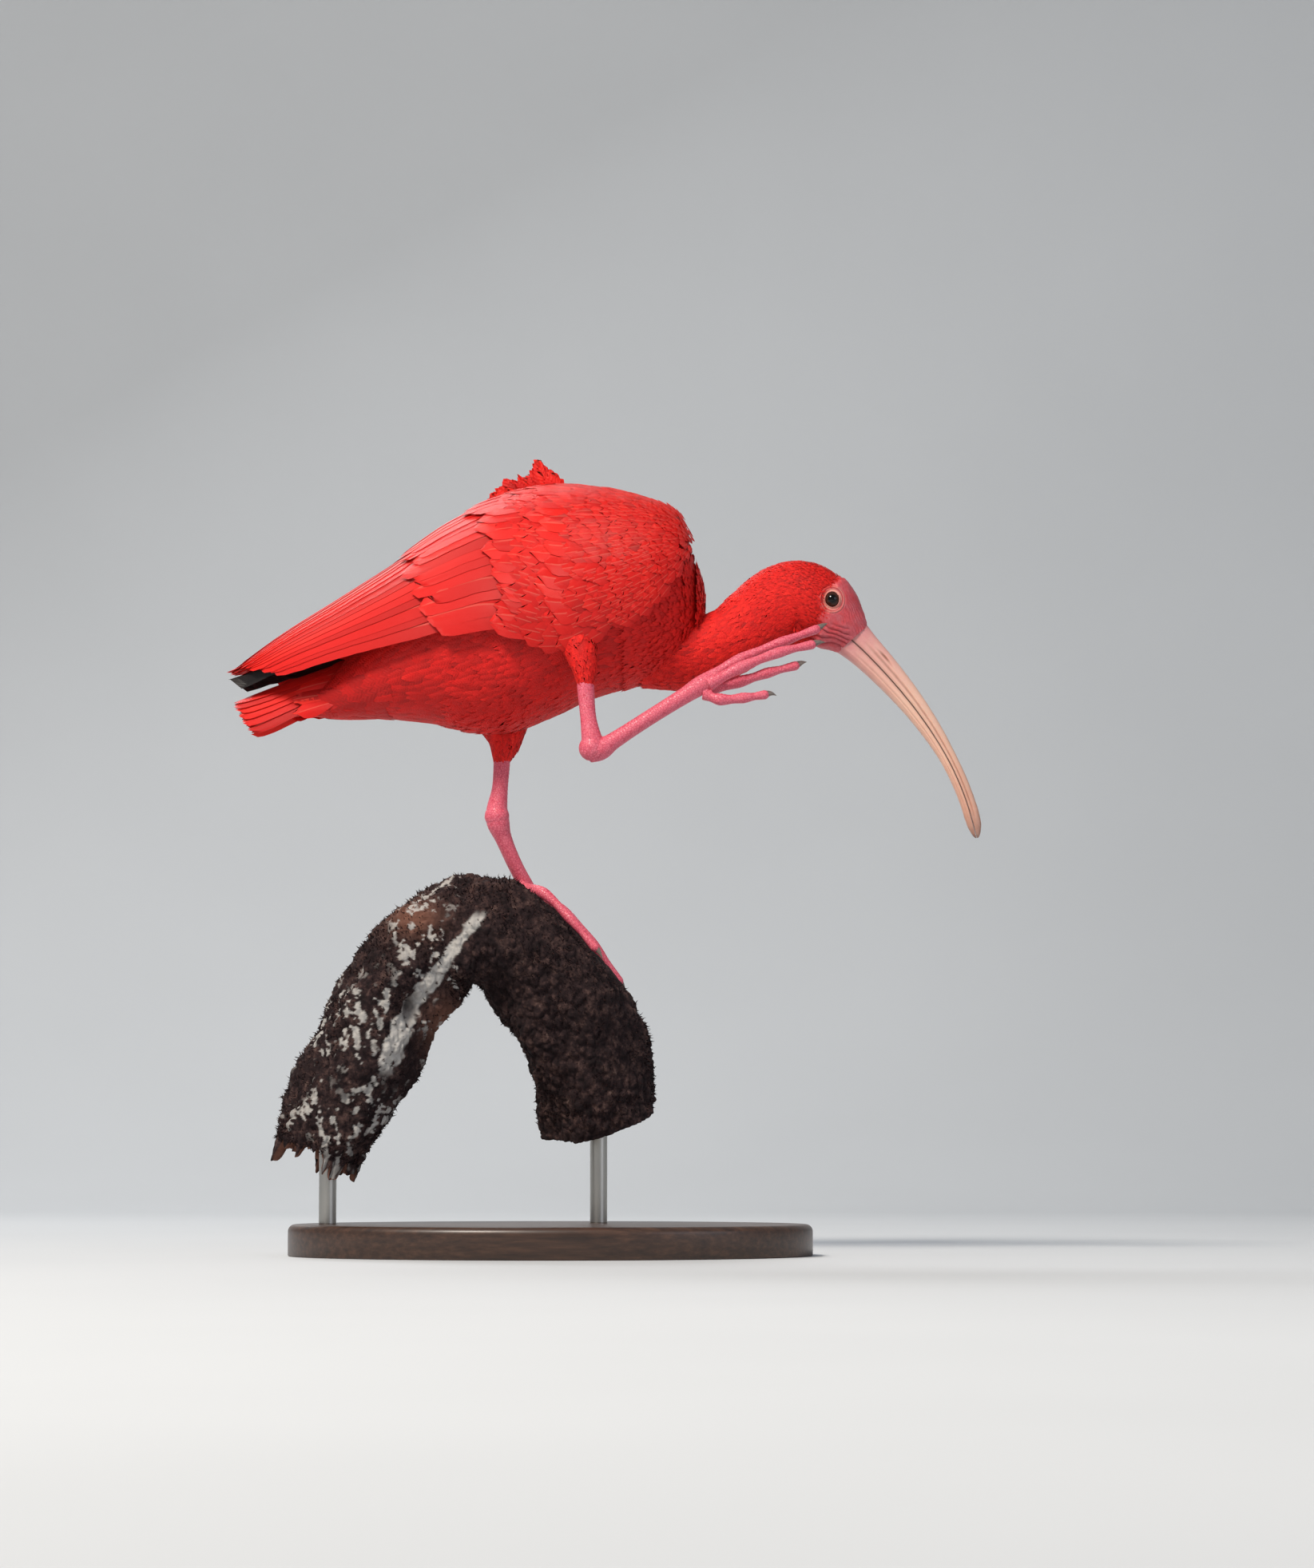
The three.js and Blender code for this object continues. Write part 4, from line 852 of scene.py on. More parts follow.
limb = {"stations": [[-132, -8, 56, 23], [-124, -8, 78, 29], [-108, -7, 112, 31], [-93, -5, 142, 31],
                     [-75, -2, 170, 31], [-49, 1, 184, 31], [-20, 5, 177, 32], [4, 13, 150, 34], [19, 25, 114, 35],
                     [30, 36, 78, 35]],
        "rows": 430, "columns": 260, "splinters": 9, "hollow": 16, "crust": 3.4, "toesClear": 0.75}
limbLine = tube(limb["stations"], byIndex=True)


def limbFrame(t):
    # Point, radius, ahead, over and side at t, from 0 at the torn end to 1 at the sawn end
    here = limbLine["line"](t)
    after, before = [limbLine["line"](np.clip(t + step, 0, 1))[..., :3] for step in (0.005, -0.005)]
    ahead = unit(after - before)
    over = unit(np.array([0, 0, 1.0]) - ahead * ahead[..., 2:])
    return here[..., :3], here[..., 3], ahead, over, np.cross(ahead, over)


def onLimb(t, angle, height=0.0):
    # path + (over * cos(angle) + side * sin(angle)) * (radius * slow swelling + height)
    t, angle = np.broadcast_arrays(np.asarray(t, float), np.asarray(angle, float))
    centre, radius, _, over, side = limbFrame(t)
    swell = 0.05 * np.sin(3 * angle + 14 * t) + 0.035 * np.sin(5 * angle - 31 * t) + 0.03 * np.sin(23 * t + angle)
    reach = radius * (1 + swell) + height
    return centre + over * (reach * np.cos(angle))[..., None] + side * (reach * np.sin(angle))[..., None]


def underToes(t, angle):
    # 1 where the standing foot grips the bark
    turned = (angle + math.pi) % (2 * math.pi) - math.pi
    middle = along([[0.53, -0.78], [0.6, -0.6], [0.66, -0.35], [0.75, -0.05], [0.82, 0.2]])(t)
    spread = along([[0.53, 0.25], [0.62, 0.35], [0.7, 0.65], [0.76, 0.75], [0.82, 0.3]])(t)
    return ease(t, 0.51, 0.54) * (1 - ease(t, 0.83, 0.86)) * (1 - ease(np.abs(turned - middle), spread, spread + 0.2))


def barkHeight(points, t, angle):
    # Crust of bark: coarse lumps, plates between cracks and fine grain, calmer where the toes grip
    lumps = noise(points, 18, 1) * 1.3 + noise(points, 8, 2) * 1.1 + noise(points, 4, 12) * 0.7
    plates = np.minimum(cells(points, (5.0, 5.0, 8.0), 3) * 3.0, 1.0) * 1.3 - 0.7
    grain = noise(points, 2.2, 4) * 0.5 + noise(points, 1.1, 5) * 0.3
    return (lumps + plates + grain) / 3.2 * limb["crust"] * (1 - limb["toesClear"] * underToes(t, angle)) - 0.4


def paleWood(points):
    # The bare pale strip on the side toward the viewer, and specks of lichen on the left leg of the limb
    x, y, z = points[..., 0], points[..., 1], points[..., 2]
    middle = along([[104, -93], [120, -88], [150, -72], [175, -53], [197, -37]])(z)
    wide = along([[104, 3.5], [125, 6.5], [160, 4.5], [197, 3.5]])(z) + noise(points, 7, 7) * 2.2 + noise(points, 2, 13)
    strip = (1 - ease(np.abs(x - middle), wide - 0.8, wide + 0.8)) * ease(z, 100, 108) * (1 - ease(z, 190, 197))
    speck = ease(noise(points, (3.4, 3.4, 5.5), 8) + 0.6 * noise(points, 1.6, 9), 0.3, 0.5) * (x < -52)
    return np.clip(strip * (y < 0) * ease(noise(points, 1.7, 14), -0.75, -0.5)
                   + 0.9 * speck * ease(noise(points, 20, 10), -0.45, 0.15), 0, 1)


def limbShell():
    # Rings of one shell: the torn hollow's floor and wall, the bark outside, and the sawn end. The hollow's wall is
    # middle + (bark - middle) * shrink + ahead * depth, and splinters are a sum of sines round the torn edge.
    rows, columns = limb["rows"], limb["columns"]
    angle = fullTurn(columns)
    t = np.linspace(0, 1, rows)[:, None]
    smooth = onLimb(t, angle)
    height = barkHeight(smooth, t, angle)
    bark = onLimb(t, angle, height)
    hole = np.exp(-((smooth[..., 0] + 79) / 4.0) ** 2 - ((smooth[..., 2] - 141) / 8.0) ** 2) * (smooth[..., 1] < 0)
    bark = bark - unit(bark - limbFrame(t + 0 * angle)[0]) * (hole * 7)[..., None]
    centre, _, ahead, _, _ = limbFrame(np.zeros((1, 1)))
    middle, ahead = centre[0, 0], ahead[0, 0]
    tear = (0.6 * np.sin(3 * angle + 1) + 0.4 * np.sin(7 * angle) + 0.35 * np.sin(17 * angle + 2)
            + 0.2 * np.sin(31 * angle))
    fade = np.exp(-np.arange(14) / 4.0)[:, None]
    bark[:14] -= ahead * (limb["splinters"] * tear * fade)[..., None]
    wall = np.linspace(0, 1, 26)[:, None]
    inner = onLimb(np.zeros_like(wall), angle)
    shrink = 1 - 0.12 * ease(wall, 0, 0.12) - 0.16 * wall
    sunk = limb["hollow"] * ease(wall, 0, 1) - limb["splinters"] * tear * (1 - ease(wall, 0, 0.5))
    pit = middle + (inner - middle) * shrink[..., None] + ahead * sunk[..., None]
    pit = pit + noise(pit, 3, 6)[..., None]
    deep = ahead * limb["hollow"]
    floor = middle + (pit[-1] - middle - deep) * np.linspace(1, 0.04, 18)[:, None, None] + deep
    floor = floor + ahead * (noise(floor, 5, 8) * 2.5 + noise(floor, 1.8, 9) * 0.8)[..., None]
    end = limbFrame(np.ones((1, 1)))[0][0, 0]
    sawn = end + (bark[-1] - end) * np.linspace(1, 0.03, 30)[1:, None, None]
    rings = np.concatenate([floor[::-1], pit[::-1][1:], bark, sawn])
    inside = len(floor) + len(pit) - 1  # rows of the torn hollow
    wood = np.concatenate([np.ones(inside), np.zeros(rows), np.ones(len(sawn))])
    pale = np.concatenate([np.zeros((inside, columns)), paleWood(smooth) * (1 - 0.9 * hole),
                           np.full((len(sawn), columns), 0.15)])
    reddish = np.clip(wood[:, None] + 0 * angle, 0, 1)
    x, y, z = (rings[..., k] for k in range(3))
    patch = (np.exp(-((x + 78) / 14) ** 2 - ((z - 192) / 10) ** 2)
             + np.exp(-((x + 60) / 10) ** 2 - ((z - 128) / 16) ** 2))
    reddish = np.clip(reddish + patch * (y < 10) * 1.1, 0, 1)
    paint = np.stack([pale, reddish, 0 * pale], -1).reshape(-1, 3)
    return closedTube(rings), np.concatenate([paint, [[0, 1, 0], [0, 1, 0]]])


shell, paint = limbShell()
perchBark = makePiece("perchBark", shell, barkMaterial(), paint)
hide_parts("perch")

moss = {"tufts": 26000, "length": 3.6, "width": 0.9}


def mossTufts():
    # Small three-sided blades standing and leaning on the bark, thick on the top and the outer side
    rng = np.random.default_rng(11)
    n = moss["tufts"]
    t, angle = rng.uniform(0.01, 0.99, n), rng.uniform(-math.pi, math.pi, n)
    base = onLimb(t, angle)
    clump = noise(base, 13, 21) * 0.8 + noise(base, 5, 22) * 0.6 + 0.3 * np.cos(angle) + 0.15
    keep = (clump > rng.uniform(-0.5, 0.6, n)) & (paleWood(base) < 0.35) & (underToes(t, angle) < 0.25)
    t, angle, base, clump = t[keep], angle[keep], base[keep], clump[keep]
    n = len(t)
    centre = limbFrame(t)[0]
    outward = unit(base - centre)
    root = onLimb(t, angle, barkHeight(base, t, angle)) - outward * 0.5
    lean = unit(outward + rng.normal(0, 0.55, (n, 3)))
    side = unit(np.cross(lean, rng.normal(0, 1, (n, 3))))
    third = np.cross(lean, side)
    length = (moss["length"] * rng.uniform(0.4, 1.15, n) * (0.55 + 0.5 * np.clip(clump, 0, 1)))[:, None]
    turn = np.arange(3) * 2 * math.pi / 3
    ring = side[:, None] * np.cos(turn)[None, :, None] + third[:, None] * np.sin(turn)[None, :, None]
    levels = [(0.0, 0.5), (0.4, 0.75), (0.8, 0.4)]
    rows = [root[:, None] + lean[:, None] * length[:, None] * a + ring * (moss["width"] / 2 * w)
            + outward[:, None] * (-0.5 * a * a) for a, w in levels]
    tip = root + lean * length + rng.normal(0, 0.4, (n, 3))
    points = np.concatenate([np.stack(rows, 1).reshape(n, 9, 3), tip[:, None]], 1)
    k = np.arange(3)
    quads = np.concatenate([np.stack([r * 3 + k, r * 3 + (k + 1) % 3, r * 3 + 3 + (k + 1) % 3, r * 3 + 3 + k], -1)
                            for r in range(2)])
    triangles = np.concatenate([np.stack([6 + k, 6 + (k + 1) % 3, 9 + 0 * k], -1), [[0, 2, 1]]])
    shift = (np.arange(n) * 10)[:, None, None]
    tone = rng.uniform(0, 1, (n, 1)) ** 1.6 * np.array([0.3] * 3 + [0.6] * 3 + [0.9] * 3 + [1.0])
    paint = np.stack([tone, 0 * tone, 0 * tone], -1)
    return (points, (quads[None] + shift).reshape(-1, 4), (triangles[None] + shift).reshape(-1, 3)), paint


shell, paint = mossTufts()
perchMoss = makePiece("perchMoss", shell, mossMaterial(), paint)
print("perch,", len(shell[0]), "tufts of moss")


# Stand

stand = {"halfLength": 150, "halfWidth": 100, "height": 18, "edge": 4, "rodRadius": 5}
rods = {"broken_end": (-127, -8, 80), "sawn_end": (27, 30, 110)}


def boardShell():
    # An ellipse swept up its own side with a rounded upper edge: (a * s * cos, b * s * sin, z)
    arc = np.linspace(0, math.pi / 2, 10)
    edge = stand["edge"]
    inset = np.concatenate([[0.6, 0.0], edge * (1 - np.cos(arc)), edge + np.array([1.0, 20, 60])])
    height = np.concatenate([[0.0, 0.6], stand["height"] - edge + edge * np.sin(arc), [stand["height"]] * 3])
    turn = fullTurn(192)
    points = np.stack(np.broadcast_arrays((stand["halfLength"] - inset[:, None]) * np.cos(turn),
                                          (stand["halfWidth"] - inset[:, None]) * np.sin(turn),
                                          height[:, None]), -1)
    return closedTube(points)


standBoard = makePiece("standBoard", boardShell(), boardMaterial())
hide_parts("stand_base")
steel = rodMaterial()
for name, (x, y, top) in rods.items():
    turn = fullTurn(48)
    z = np.array([stand["height"] - 2, stand["height"] + 1, top - 6.0, top])[:, None]
    rings = np.stack(np.broadcast_arrays(x + stand["rodRadius"] * np.cos(turn),
                                         y + stand["rodRadius"] * np.sin(turn), z), -1)
    rod = makePiece("standRod_" + name, closedTube(rings), steel)
    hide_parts("stand_rod_" + name)
print("stand")


# Legs, toes and claws

legs = {
    right: {"shank": [[20, -48, 330, 4.9], [20.5, -48.5, 321, 4.9], [22, -50, 304, 4.6], [24, -51, 292, 5.9],
                      [26, -51, 284, 6.9]],
            "tarsus": [[22, -51, 284, 6.0], [29, -51, 286, 6.3], [36, -50.8, 290.5, 4.9], [55, -50, 303, 4.4],
                       [76, -47.3, 316.5, 4.7], [88, -46, 324, 5.6], [93, -46, 325, 4.5]],
            "ankle": [24.0, -51, 286.5, 7.4]},
    left: {"shank": [[-29.5, 15.3, 296, 4.9], [-29.5, 15.5, 286, 4.9], [-30.5, 14.5, 270, 4.7], [-32, 14, 259, 6.0],
                     [-32.5, 13.8, 252, 7.0]],
           "tarsus": [[-32.5, 13.5, 258, 5.8], [-31.5, 14.3, 250, 6.7], [-28.5, 16.5, 241, 5.0], [-22, 21, 226, 4.4],
                      [-14, 26.5, 211, 4.6], [-8, 30, 200, 5.4], [-7, 31, 196, 4.6]],
           "ankle": [-32.2, 13.8, 253.5, 7.2]},
    "ring": 2.3, "ringDepth": 0.3, "voxel": 0.42,
}
raisedToes = {
    3: {"points": [[88, -46, 326], [108, -42.5, 338], [132, -38.5, 348.5], [152, -35, 356.5]], "claw": 7, "drop": -1},
    2: {"points": [[90, -50, 323], [108, -50, 332.5], [130, -47, 341.5], [149, -43.5, 346.5]], "claw": 8, "drop": 0.5},
    4: {"points": [[90, -42, 321], [108, -38, 326], [124, -34, 331.5], [140, -31, 336]], "claw": 7, "drop": -0.5},
    1: {"points": [[88, -47, 318], [97, -49, 314.5], [110, -48, 315.5], [122, -46, 317.5]], "claw": 7, "drop": 1.5},
}
standingToes = {
    3: [[0.632, -0.62], [0.69, -0.35], [0.75, -0.08], [0.81, 0.18]],
    2: [[0.63, -0.45], [0.66, -0.05], [0.7, 0.32], [0.745, 0.66]],
    4: [[0.64, -0.8], [0.695, -0.78], [0.75, -0.72], [0.8, -0.66]],
    1: [[0.61, -0.66], [0.57, -0.72], [0.535, -0.8]],
}


def ringedTube(stations, rows=150, columns=40, up=(0, 0, 1)):
    # A leg tube whose scutes are rings: radius less ringDepth * |sin(pi * length / ring)|^0.5 on its front half
    made = tube(stations, up)
    u = np.linspace(0, 1, rows)[:, None]
    angle = fullTurn(columns)
    groove = 1 - np.abs(np.sin(math.pi * u * made["length"] / legs["ring"])) ** 0.5
    front = ease(np.cos(angle), -0.3, 0.5)
    return closedTube(made["point"](u, angle, -legs["ringDepth"] * groove * front))


def knob(x, y, z, radius):
    # A ball: its profile is radius * cos(angle) at height radius * sin(angle)
    angle = np.linspace(-1.45, 1.45, 13)
    return tubeShell(tube(np.column_stack([np.full(13, x), np.full(13, y), z + radius * np.sin(angle),
                                           radius * np.cos(angle)]), (1, 0, 0)), 30, 24)


def toeStations(points):
    # Swells at each joint: radius 3.55 - 1.15 * s + 0.35 * cos(2 * pi * joints * s), in mm
    points = np.asarray(points, float)
    line = along(np.column_stack([np.linspace(0, 1, len(points)), points]))
    s = np.linspace(0, 1, 4 * (len(points) - 1) + 1)
    joints = np.cos(2 * math.pi * s * (len(points) - 1))
    return np.column_stack([line(s), 3.55 - 1.15 * s + 0.35 * joints])


def clawTube(points, length, drop):
    # Hooks down from the last toe joint: end + ahead * length * s + up * (0.6 * sin(pi * s) - drop * s^2), with a
    # radius of 2 mm that runs to a point
    points = np.asarray(points, float)
    ahead = unit(points[-1] - points[-2])
    s = np.linspace(-0.25, 1, 9)[:, None]
    middle = (points[-1] + ahead * (length * s) + np.array([0, 0, 0.6]) * np.sin(math.pi * np.clip(s, 0, 1))
              - np.array([0, 0, 1.0]) * (drop * np.clip(s, 0, 1) ** 2))
    radius = 2.0 * np.clip(1 - np.clip(s, 0, 1) ** 1.4, 0.04, 1)
    return tubeShell(tube(np.column_stack([middle, radius * 1.1, radius * 0.85])), 40, 20)


legSkin, horn = legMaterial(), clawMaterial()
for legSide in (right, left):
    name = sideName[legSide]
    if legSide == right:
        toes = {number: np.array(toe["points"], float) for number, toe in raisedToes.items()}
    else:
        toes = {number: onLimb(*np.array(spots).T, 3.1) for number, spots in standingToes.items()}
        toes[1] = np.concatenate([[[-9, 30, 201], [-19, 30.5, 207]], toes[1]])  # on from the pad to the hind toe
    tubes = [ringedTube(legs[legSide]["shank"], up=(1, 0, 0)), ringedTube(legs[legSide]["tarsus"])]
    tubes += [ringedTube(toeStations(points), 110, 32) for points in toes.values()]
    tubes += [knob(*legs[legSide]["ankle"])] + [knob(*points[-1], 2.6) for points in toes.values()]
    leg = makePiece("legSkin_" + name, joinedShells(tubes), legSkin)
    remesh = leg.modifiers.new("oneSkin", "REMESH")
    remesh.mode = "VOXEL"
    remesh.voxel_size = legs["voxel"] * mm
    remesh.use_smooth_shade = True
    smooth = leg.modifiers.new("softened", "SMOOTH")
    smooth.factor, smooth.iterations = 0.5, 3
    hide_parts("shank_" + name, "tarsus_" + name, *[f"toe_{name}_{number}" for number in toes])
    claws = []
    for number, toe in toes.items():
        length, drop = (raisedToes[number]["claw"], raisedToes[number]["drop"]) if legSide == right else (7, 1.5)
        claws.append(clawTube(toe, length, drop))
    claw = makePiece("claws_" + name, joinedShells(claws), horn)
    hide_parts(*[f"claw_{name}_{number}" for number in toes])
print("legs")


# Coat

def group(made, bakeU, bakeV, **more):
    # Feathers with their places on the bake map, as coatPiece joins them
    points, a, b = made
    return {"points": points, "a": a, "b": b, "bakeU": bakeU, "bakeV": bakeV, **more}


body = {"rowStep": 3.2, "columnStep": 3.3, "length": 9, "rearLonger": 6, "breastLength": 10.0, "breastWidth": 5.2,
        "frontLength": 9.5, "ventLength": 27.0, "ventWidth": 11.0}
neckDown = {"step": 1.8, "length": 7.5}
headDown = {"step": 1.25, "length": 4.6}
thighDown = {"rowStep": 2.2, "columnStep": 2.1, "length": 7.5, "width": 3.4, "cuff": 150}


def bodyFeathers():
    # Breast, belly, flanks, vent and back: rows from the neck toward the tail, larger to the rear, and none where
    # the wings lie over them
    rng = np.random.default_rng(1)
    groups = []
    u, v = scatter(torsoSurface, -149, 86, body["rowStep"], body["columnStep"], rng)
    place = torsoPoint(u, v)
    side = np.abs(place[:, 1])
    under = (place[:, 2] > wingLower(u) + 10) & (side > backStrip(u) + 9) & (u < 84)
    keep = ~under & ~((u < -118) & (place[:, 2] > torsoTop(u) - 8))
    u, v = u[keep], v[keep]
    length = body["length"] + body["rearLonger"] * ease(-u, -70, 60)
    made = plume(torsoSurface, u, v, length, 0.52 * length, rng, height=-2.2, lift=0.1, sway=0.1, columns=3,
                 uneven=0.25)
    # The body's feathers are set darker here and in the groups below: painted shade for the shaded underside
    groups.append(group(made, (u + 152) / 240, v / (2 * math.pi) % 1, tone=-0.08))
    u, v = scatter(torsoSurface, 50, 87.8, 1.0, 3.0, rng)  # the breast and shoulders, where the body rounds off
    place = torsoPoint(u, v)
    keep = (u > 74) | (place[:, 2] < wingLower(u) + 8)
    u, v = u[keep], v[keep]
    made = plume(torsoSurface, u, v, body["breastLength"], body["breastWidth"], rng, height=-1.8, lift=0.14, sway=0.1,
                 columns=3, uneven=0.25)
    # Darker tone: painted shade
    groups.append(group(made, (u + 152) / 240, v / (2 * math.pi) % 1, tone=-0.02))
    # The torso's blunt front: (90 - 2.2 * r^2, 14 * r * sin(angle), 372 + 17 * r * cos(angle)), r from 0 out
    front = {"point": lambda r, angle: np.stack(np.broadcast_arrays(90 - 2.2 * r * r, 14 * r * np.sin(angle),
                                                                    372 + 17 * r * np.cos(angle)), -1),
             "outward": -1, "stepU": 0.02, "unitLength": 16.0, "bend": 60.0}
    r, angle = scatter(front, 0.08, 1.3, 1.4, 2.3, rng)
    made = plume(front, r, angle, body["frontLength"], body["breastWidth"], rng, height=-0.8, lift=0.12, sway=0.12,
                 flow=1, columns=3, uneven=0.25)
    # Darker tone: painted shade
    groups.append(group(made, 0.96 + 0.02 * r, angle / (2 * math.pi) % 1, tone=-0.04))
    u, v = scatter(torsoSurface, -148, -88, 6.0, 5.0, rng, turn=(math.pi - 1.5, math.pi + 1.5))
    made = plume(torsoSurface, u, v, body["ventLength"], body["ventWidth"], rng, height=-1.6, lift=0.07, sway=0.06,
                 rows=6, columns=4, uneven=0.2, ragged=0.1)
    # Darker tone: painted shade
    groups.append(group(made, (u + 152) / 240, v / (2 * math.pi) % 1, tone=-0.05))
    return groups


def neckFeathers(fromU, toU, step, length, name, seed):
    # Short velvet feathers round the neck's tube, fewer and shorter toward the bare face. length takes the places.
    rng = np.random.default_rng(seed)
    u, v = scatter(neckSurface, fromU, toU, step, step * 0.85, rng)
    place = neck["point"](u, v)
    keep = (rng.uniform(0, 1, len(u)) > bareShare(place) * 1.15) & ~insideTorso(place, -4)
    u, v, place = u[keep], v[keep], place[keep]
    bare = bareShare(place)
    reach = length(u, place) * (1 - 0.45 * bare)
    made = plume(neckSurface, u, v, reach, 0.42 * reach, rng, height=-1.9 * (1 - bare) - 0.2, lift=0.16, sway=0.2,
                 rows=3, columns=2, ragged=0.25)
    coatPiece(name, [group(made, u, v / (2 * math.pi) % 1)], downFeather, seed=seed)


def thighFeathers():
    # Down along each thigh's tube, toward the leg, with a ragged cuff where the bare leg starts
    rng = np.random.default_rng(3)
    groups = []
    for side in (right, left):
        surface = {"point": thighs[side]["point"], "outward": -1, "stepU": 0.01, "unitLength": thighs[side]["length"],
                   "bend": 30.0}
        u, v = scatter(surface, 0.02, 0.97, thighDown["rowStep"], thighDown["columnStep"], rng)
        for low, count in ((0.88, thighDown["cuff"]), (0.9, thighDown["cuff"] + 10)):
            u = np.concatenate([u, rng.uniform(low, 1.0, count)])
            v = np.concatenate([v, rng.uniform(0, 2 * math.pi, count)])
        length = thighDown["length"] - 2.5 * u + 2.0 * (u > 0.9)
        made = plume(surface, u, v, length, thighDown["width"] - u, rng, height=-1.6, lift=0.1, flow=1, rows=3,
                     columns=2, ragged=0.35)
        groups.append(group(made, 0.5 + 0.4 * u, v / (2 * math.pi) % 1))
    return groups


# The body coat's lower mean tone is painted shade for the shaded underside
coatPiece("bodyCoat", bodyFeathers(), smallFeather, tone=(0.42, 0.09), seed=1)
coatPiece("thighCoat", thighFeathers(), downFeather, seed=2)
neckFeathers(0.05, 0.6, neckDown["step"], lambda u, place: neckDown["length"] - 3.5 * u, "neckCoat", 4)
neckFeathers(0.58, 0.97, headDown["step"], lambda u, place: headDown["length"] - 2.0 * ease(place[:, 0], 128, 158),
             "headCoat", 5)


def rowOf(count, rng, root, tip, width, uneven=4.0, **settings):
    # A row of large feathers: s runs 0 to 1 down the wing, shaken a little, and the tips end unevenly
    s = np.linspace(0, 1, count) + rng.uniform(-0.2, 0.2, count) / count
    roots = np.column_stack([np.broadcast_to(c, s.shape) for c in root(s)])
    tips = np.column_stack([np.broadcast_to(c, s.shape) for c in tip(s)])
    tips[:, 0] += rng.uniform(-uneven, uneven, count)
    return roots, tips, np.broadcast_to(width, s.shape), settings


wing = {"lesserStep": (4.4, 4.8), "lesserLength": 12.0, "medians": 16, "greaters": 15, "secondaries": 14,
        "primaries": 5, "upperWidth": 13, "medianWidth": 15, "greaterWidth": 17, "secondaryWidth": 19,
        "primaryWidth": 10}


def wingFeathers(wingSide):
    # The folded wing from its flight feathers up: primaries, secondaries, greater, median and upper coverts in rows
    # down the wing, s from 0 to 1, each from (x, v, height) at its root to its tip, then the lesser coverts
    rng = np.random.default_rng(20 + wingSide)
    surface = wingSurface(wingSide)
    groups = []

    def blackTips(a):
        # The primaries are black but for the lowest, which is black over its outer half
        start = np.where(np.arange(len(a)) == len(a) - 1, 0.5, 0.03)[:, None, None]
        return ease(a - start, 0.0, 0.06)

    def add(row, dark=None, tone=0.0):
        # One row's feathers, placed on the bake map by their roots; dark gives the black from root, 0, to tip, 1
        root, tip, width, settings = row
        made = vanes(surface, root, tip, width, rng=rng, **settings)
        extra = {"dark": dark(made[1])} if dark else {}
        groups.append(group(made, (root[:, 0] + 190) / 280, np.clip(root[:, 1], 0, 1), tone=tone, **extra))

    add(rowOf(wing["primaries"], rng, lambda s: (-70 - 6 * s, 0.93 + 0.07 * s, -3.8),
              lambda s: (-186 + 26 * s, 1.05 + 0.09 * s, -3.6 - 0.8 * s), wing["primaryWidth"], roll=4, camber=0.2,
              rows=18, thickness=0.3, uneven=1.0), dark=blackTips)
    add(rowOf(wing["secondaries"], rng, lambda s: (-46 - 4 * s, 0.03 + 0.93 * s, -3.3),
              lambda s: (-186 + 40 * np.maximum(s - 0.3, 0) ** 1.5, 0.09 + 0.93 * s, -1.0),
              wing["secondaryWidth"], roll=6, camber=0.15, rows=22, columns=8, thickness=0.25, ragged=0.015,
              uneven=2.5), tone=0.04)
    add(rowOf(wing["greaters"], rng, lambda s: (-16 - 2 * s, 0.03 + 0.92 * s, -3.2),
              lambda s: (-92 + 22 * s, 0.08 + 0.92 * s, -0.2), wing["greaterWidth"], roll=6, camber=0.15, rows=14,
              columns=8, thickness=0.25, uneven=6.0), tone=0.02)
    add(rowOf(wing["medians"], rng, lambda s: (22 - 6 * s, 0.02 + 0.93 * s, -3.0),
              lambda s: (-48 + 20 * s, 0.07 + 0.93 * s, 0.2), wing["medianWidth"], roll=6, camber=0.15, rows=12,
              columns=8, thickness=0.25, uneven=7.0))
    add(rowOf(wing["medians"] + 3, rng, lambda s: (40 - 6 * s, 0.02 + 0.93 * s, -2.6),
              lambda s: (-22 + 20 * s, 0.05 + 0.93 * s, 0.4), wing["upperWidth"], roll=6, camber=0.15, rows=10,
              columns=6, thickness=0.25, uneven=7.0))
    u, v = scatter(surface, -24, 83, *wing["lesserStep"], rng, turn=(0.0, 1.0))
    v = np.clip(v * 1.04, 0.0, 1.04)
    closeU, closeV = scatter(surface, 44, 84, 2.8, 3.0, rng, turn=(0.0, 1.03))  # closer where they are small
    u, v = np.concatenate([u[u < 52], closeU]), np.concatenate([v[u < 52], closeV])
    keep = (rng.uniform(0, 1, len(u)) < ease(u, -26, 2)) & ((v > 0.15) | (u < 79))
    u, v = u[keep], v[keep]
    length = wing["lesserLength"] + 3.0 * ease(-u, -30, 20) - 5.0 * ease(u, 40, 86)
    lesser = plume(surface, u, v, length, 0.7 * length, rng, height=-0.7 - 1.2 * ease(u, 70, 84), lift=0.11,
                   sway=0.05, rows=5, columns=4, ragged=0.06, cup=0.1, uneven=0.15)
    groups.append(group(lesser, (u + 190) / 280, np.clip(v, 0, 1)))
    piece = coatPiece("wingCoat_" + sideName[wingSide], groups, largeFeather, tone=(0.47, 0.11), seed=6 + wingSide)
    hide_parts("wing_" + sideName[wingSide])


for wingSide in (right, left):
    wingFeathers(wingSide)

tail = {"pairs": 6, "rootX": -100, "length": 84, "width": 15, "outerShorter": 9, "layer": 1.25, "turn": 1.25,
        "covertLength": 26.0, "covertWidth": 10.0}
tailTop = along([[-184, 318], [-150, 331], [-100, 349]])
tailDrop = along([[-184, 17], [-150, 23], [-100, 34]])
tailHalfWidth = along([[-184, 17], [-100, 15]])


def tailPoint(x, v):
    # A steep roof: (x, halfWidth * sin(turn * v), top - drop * (1 - cos(turn * v)) / (1 - cos(turn)))
    angle = v * tail["turn"]
    fall = tailDrop(x) * (1 - np.cos(angle)) / (1 - math.cos(tail["turn"]))
    return np.stack(np.broadcast_arrays(x, tailHalfWidth(x) * np.sin(angle), tailTop(x) - fall), -1)


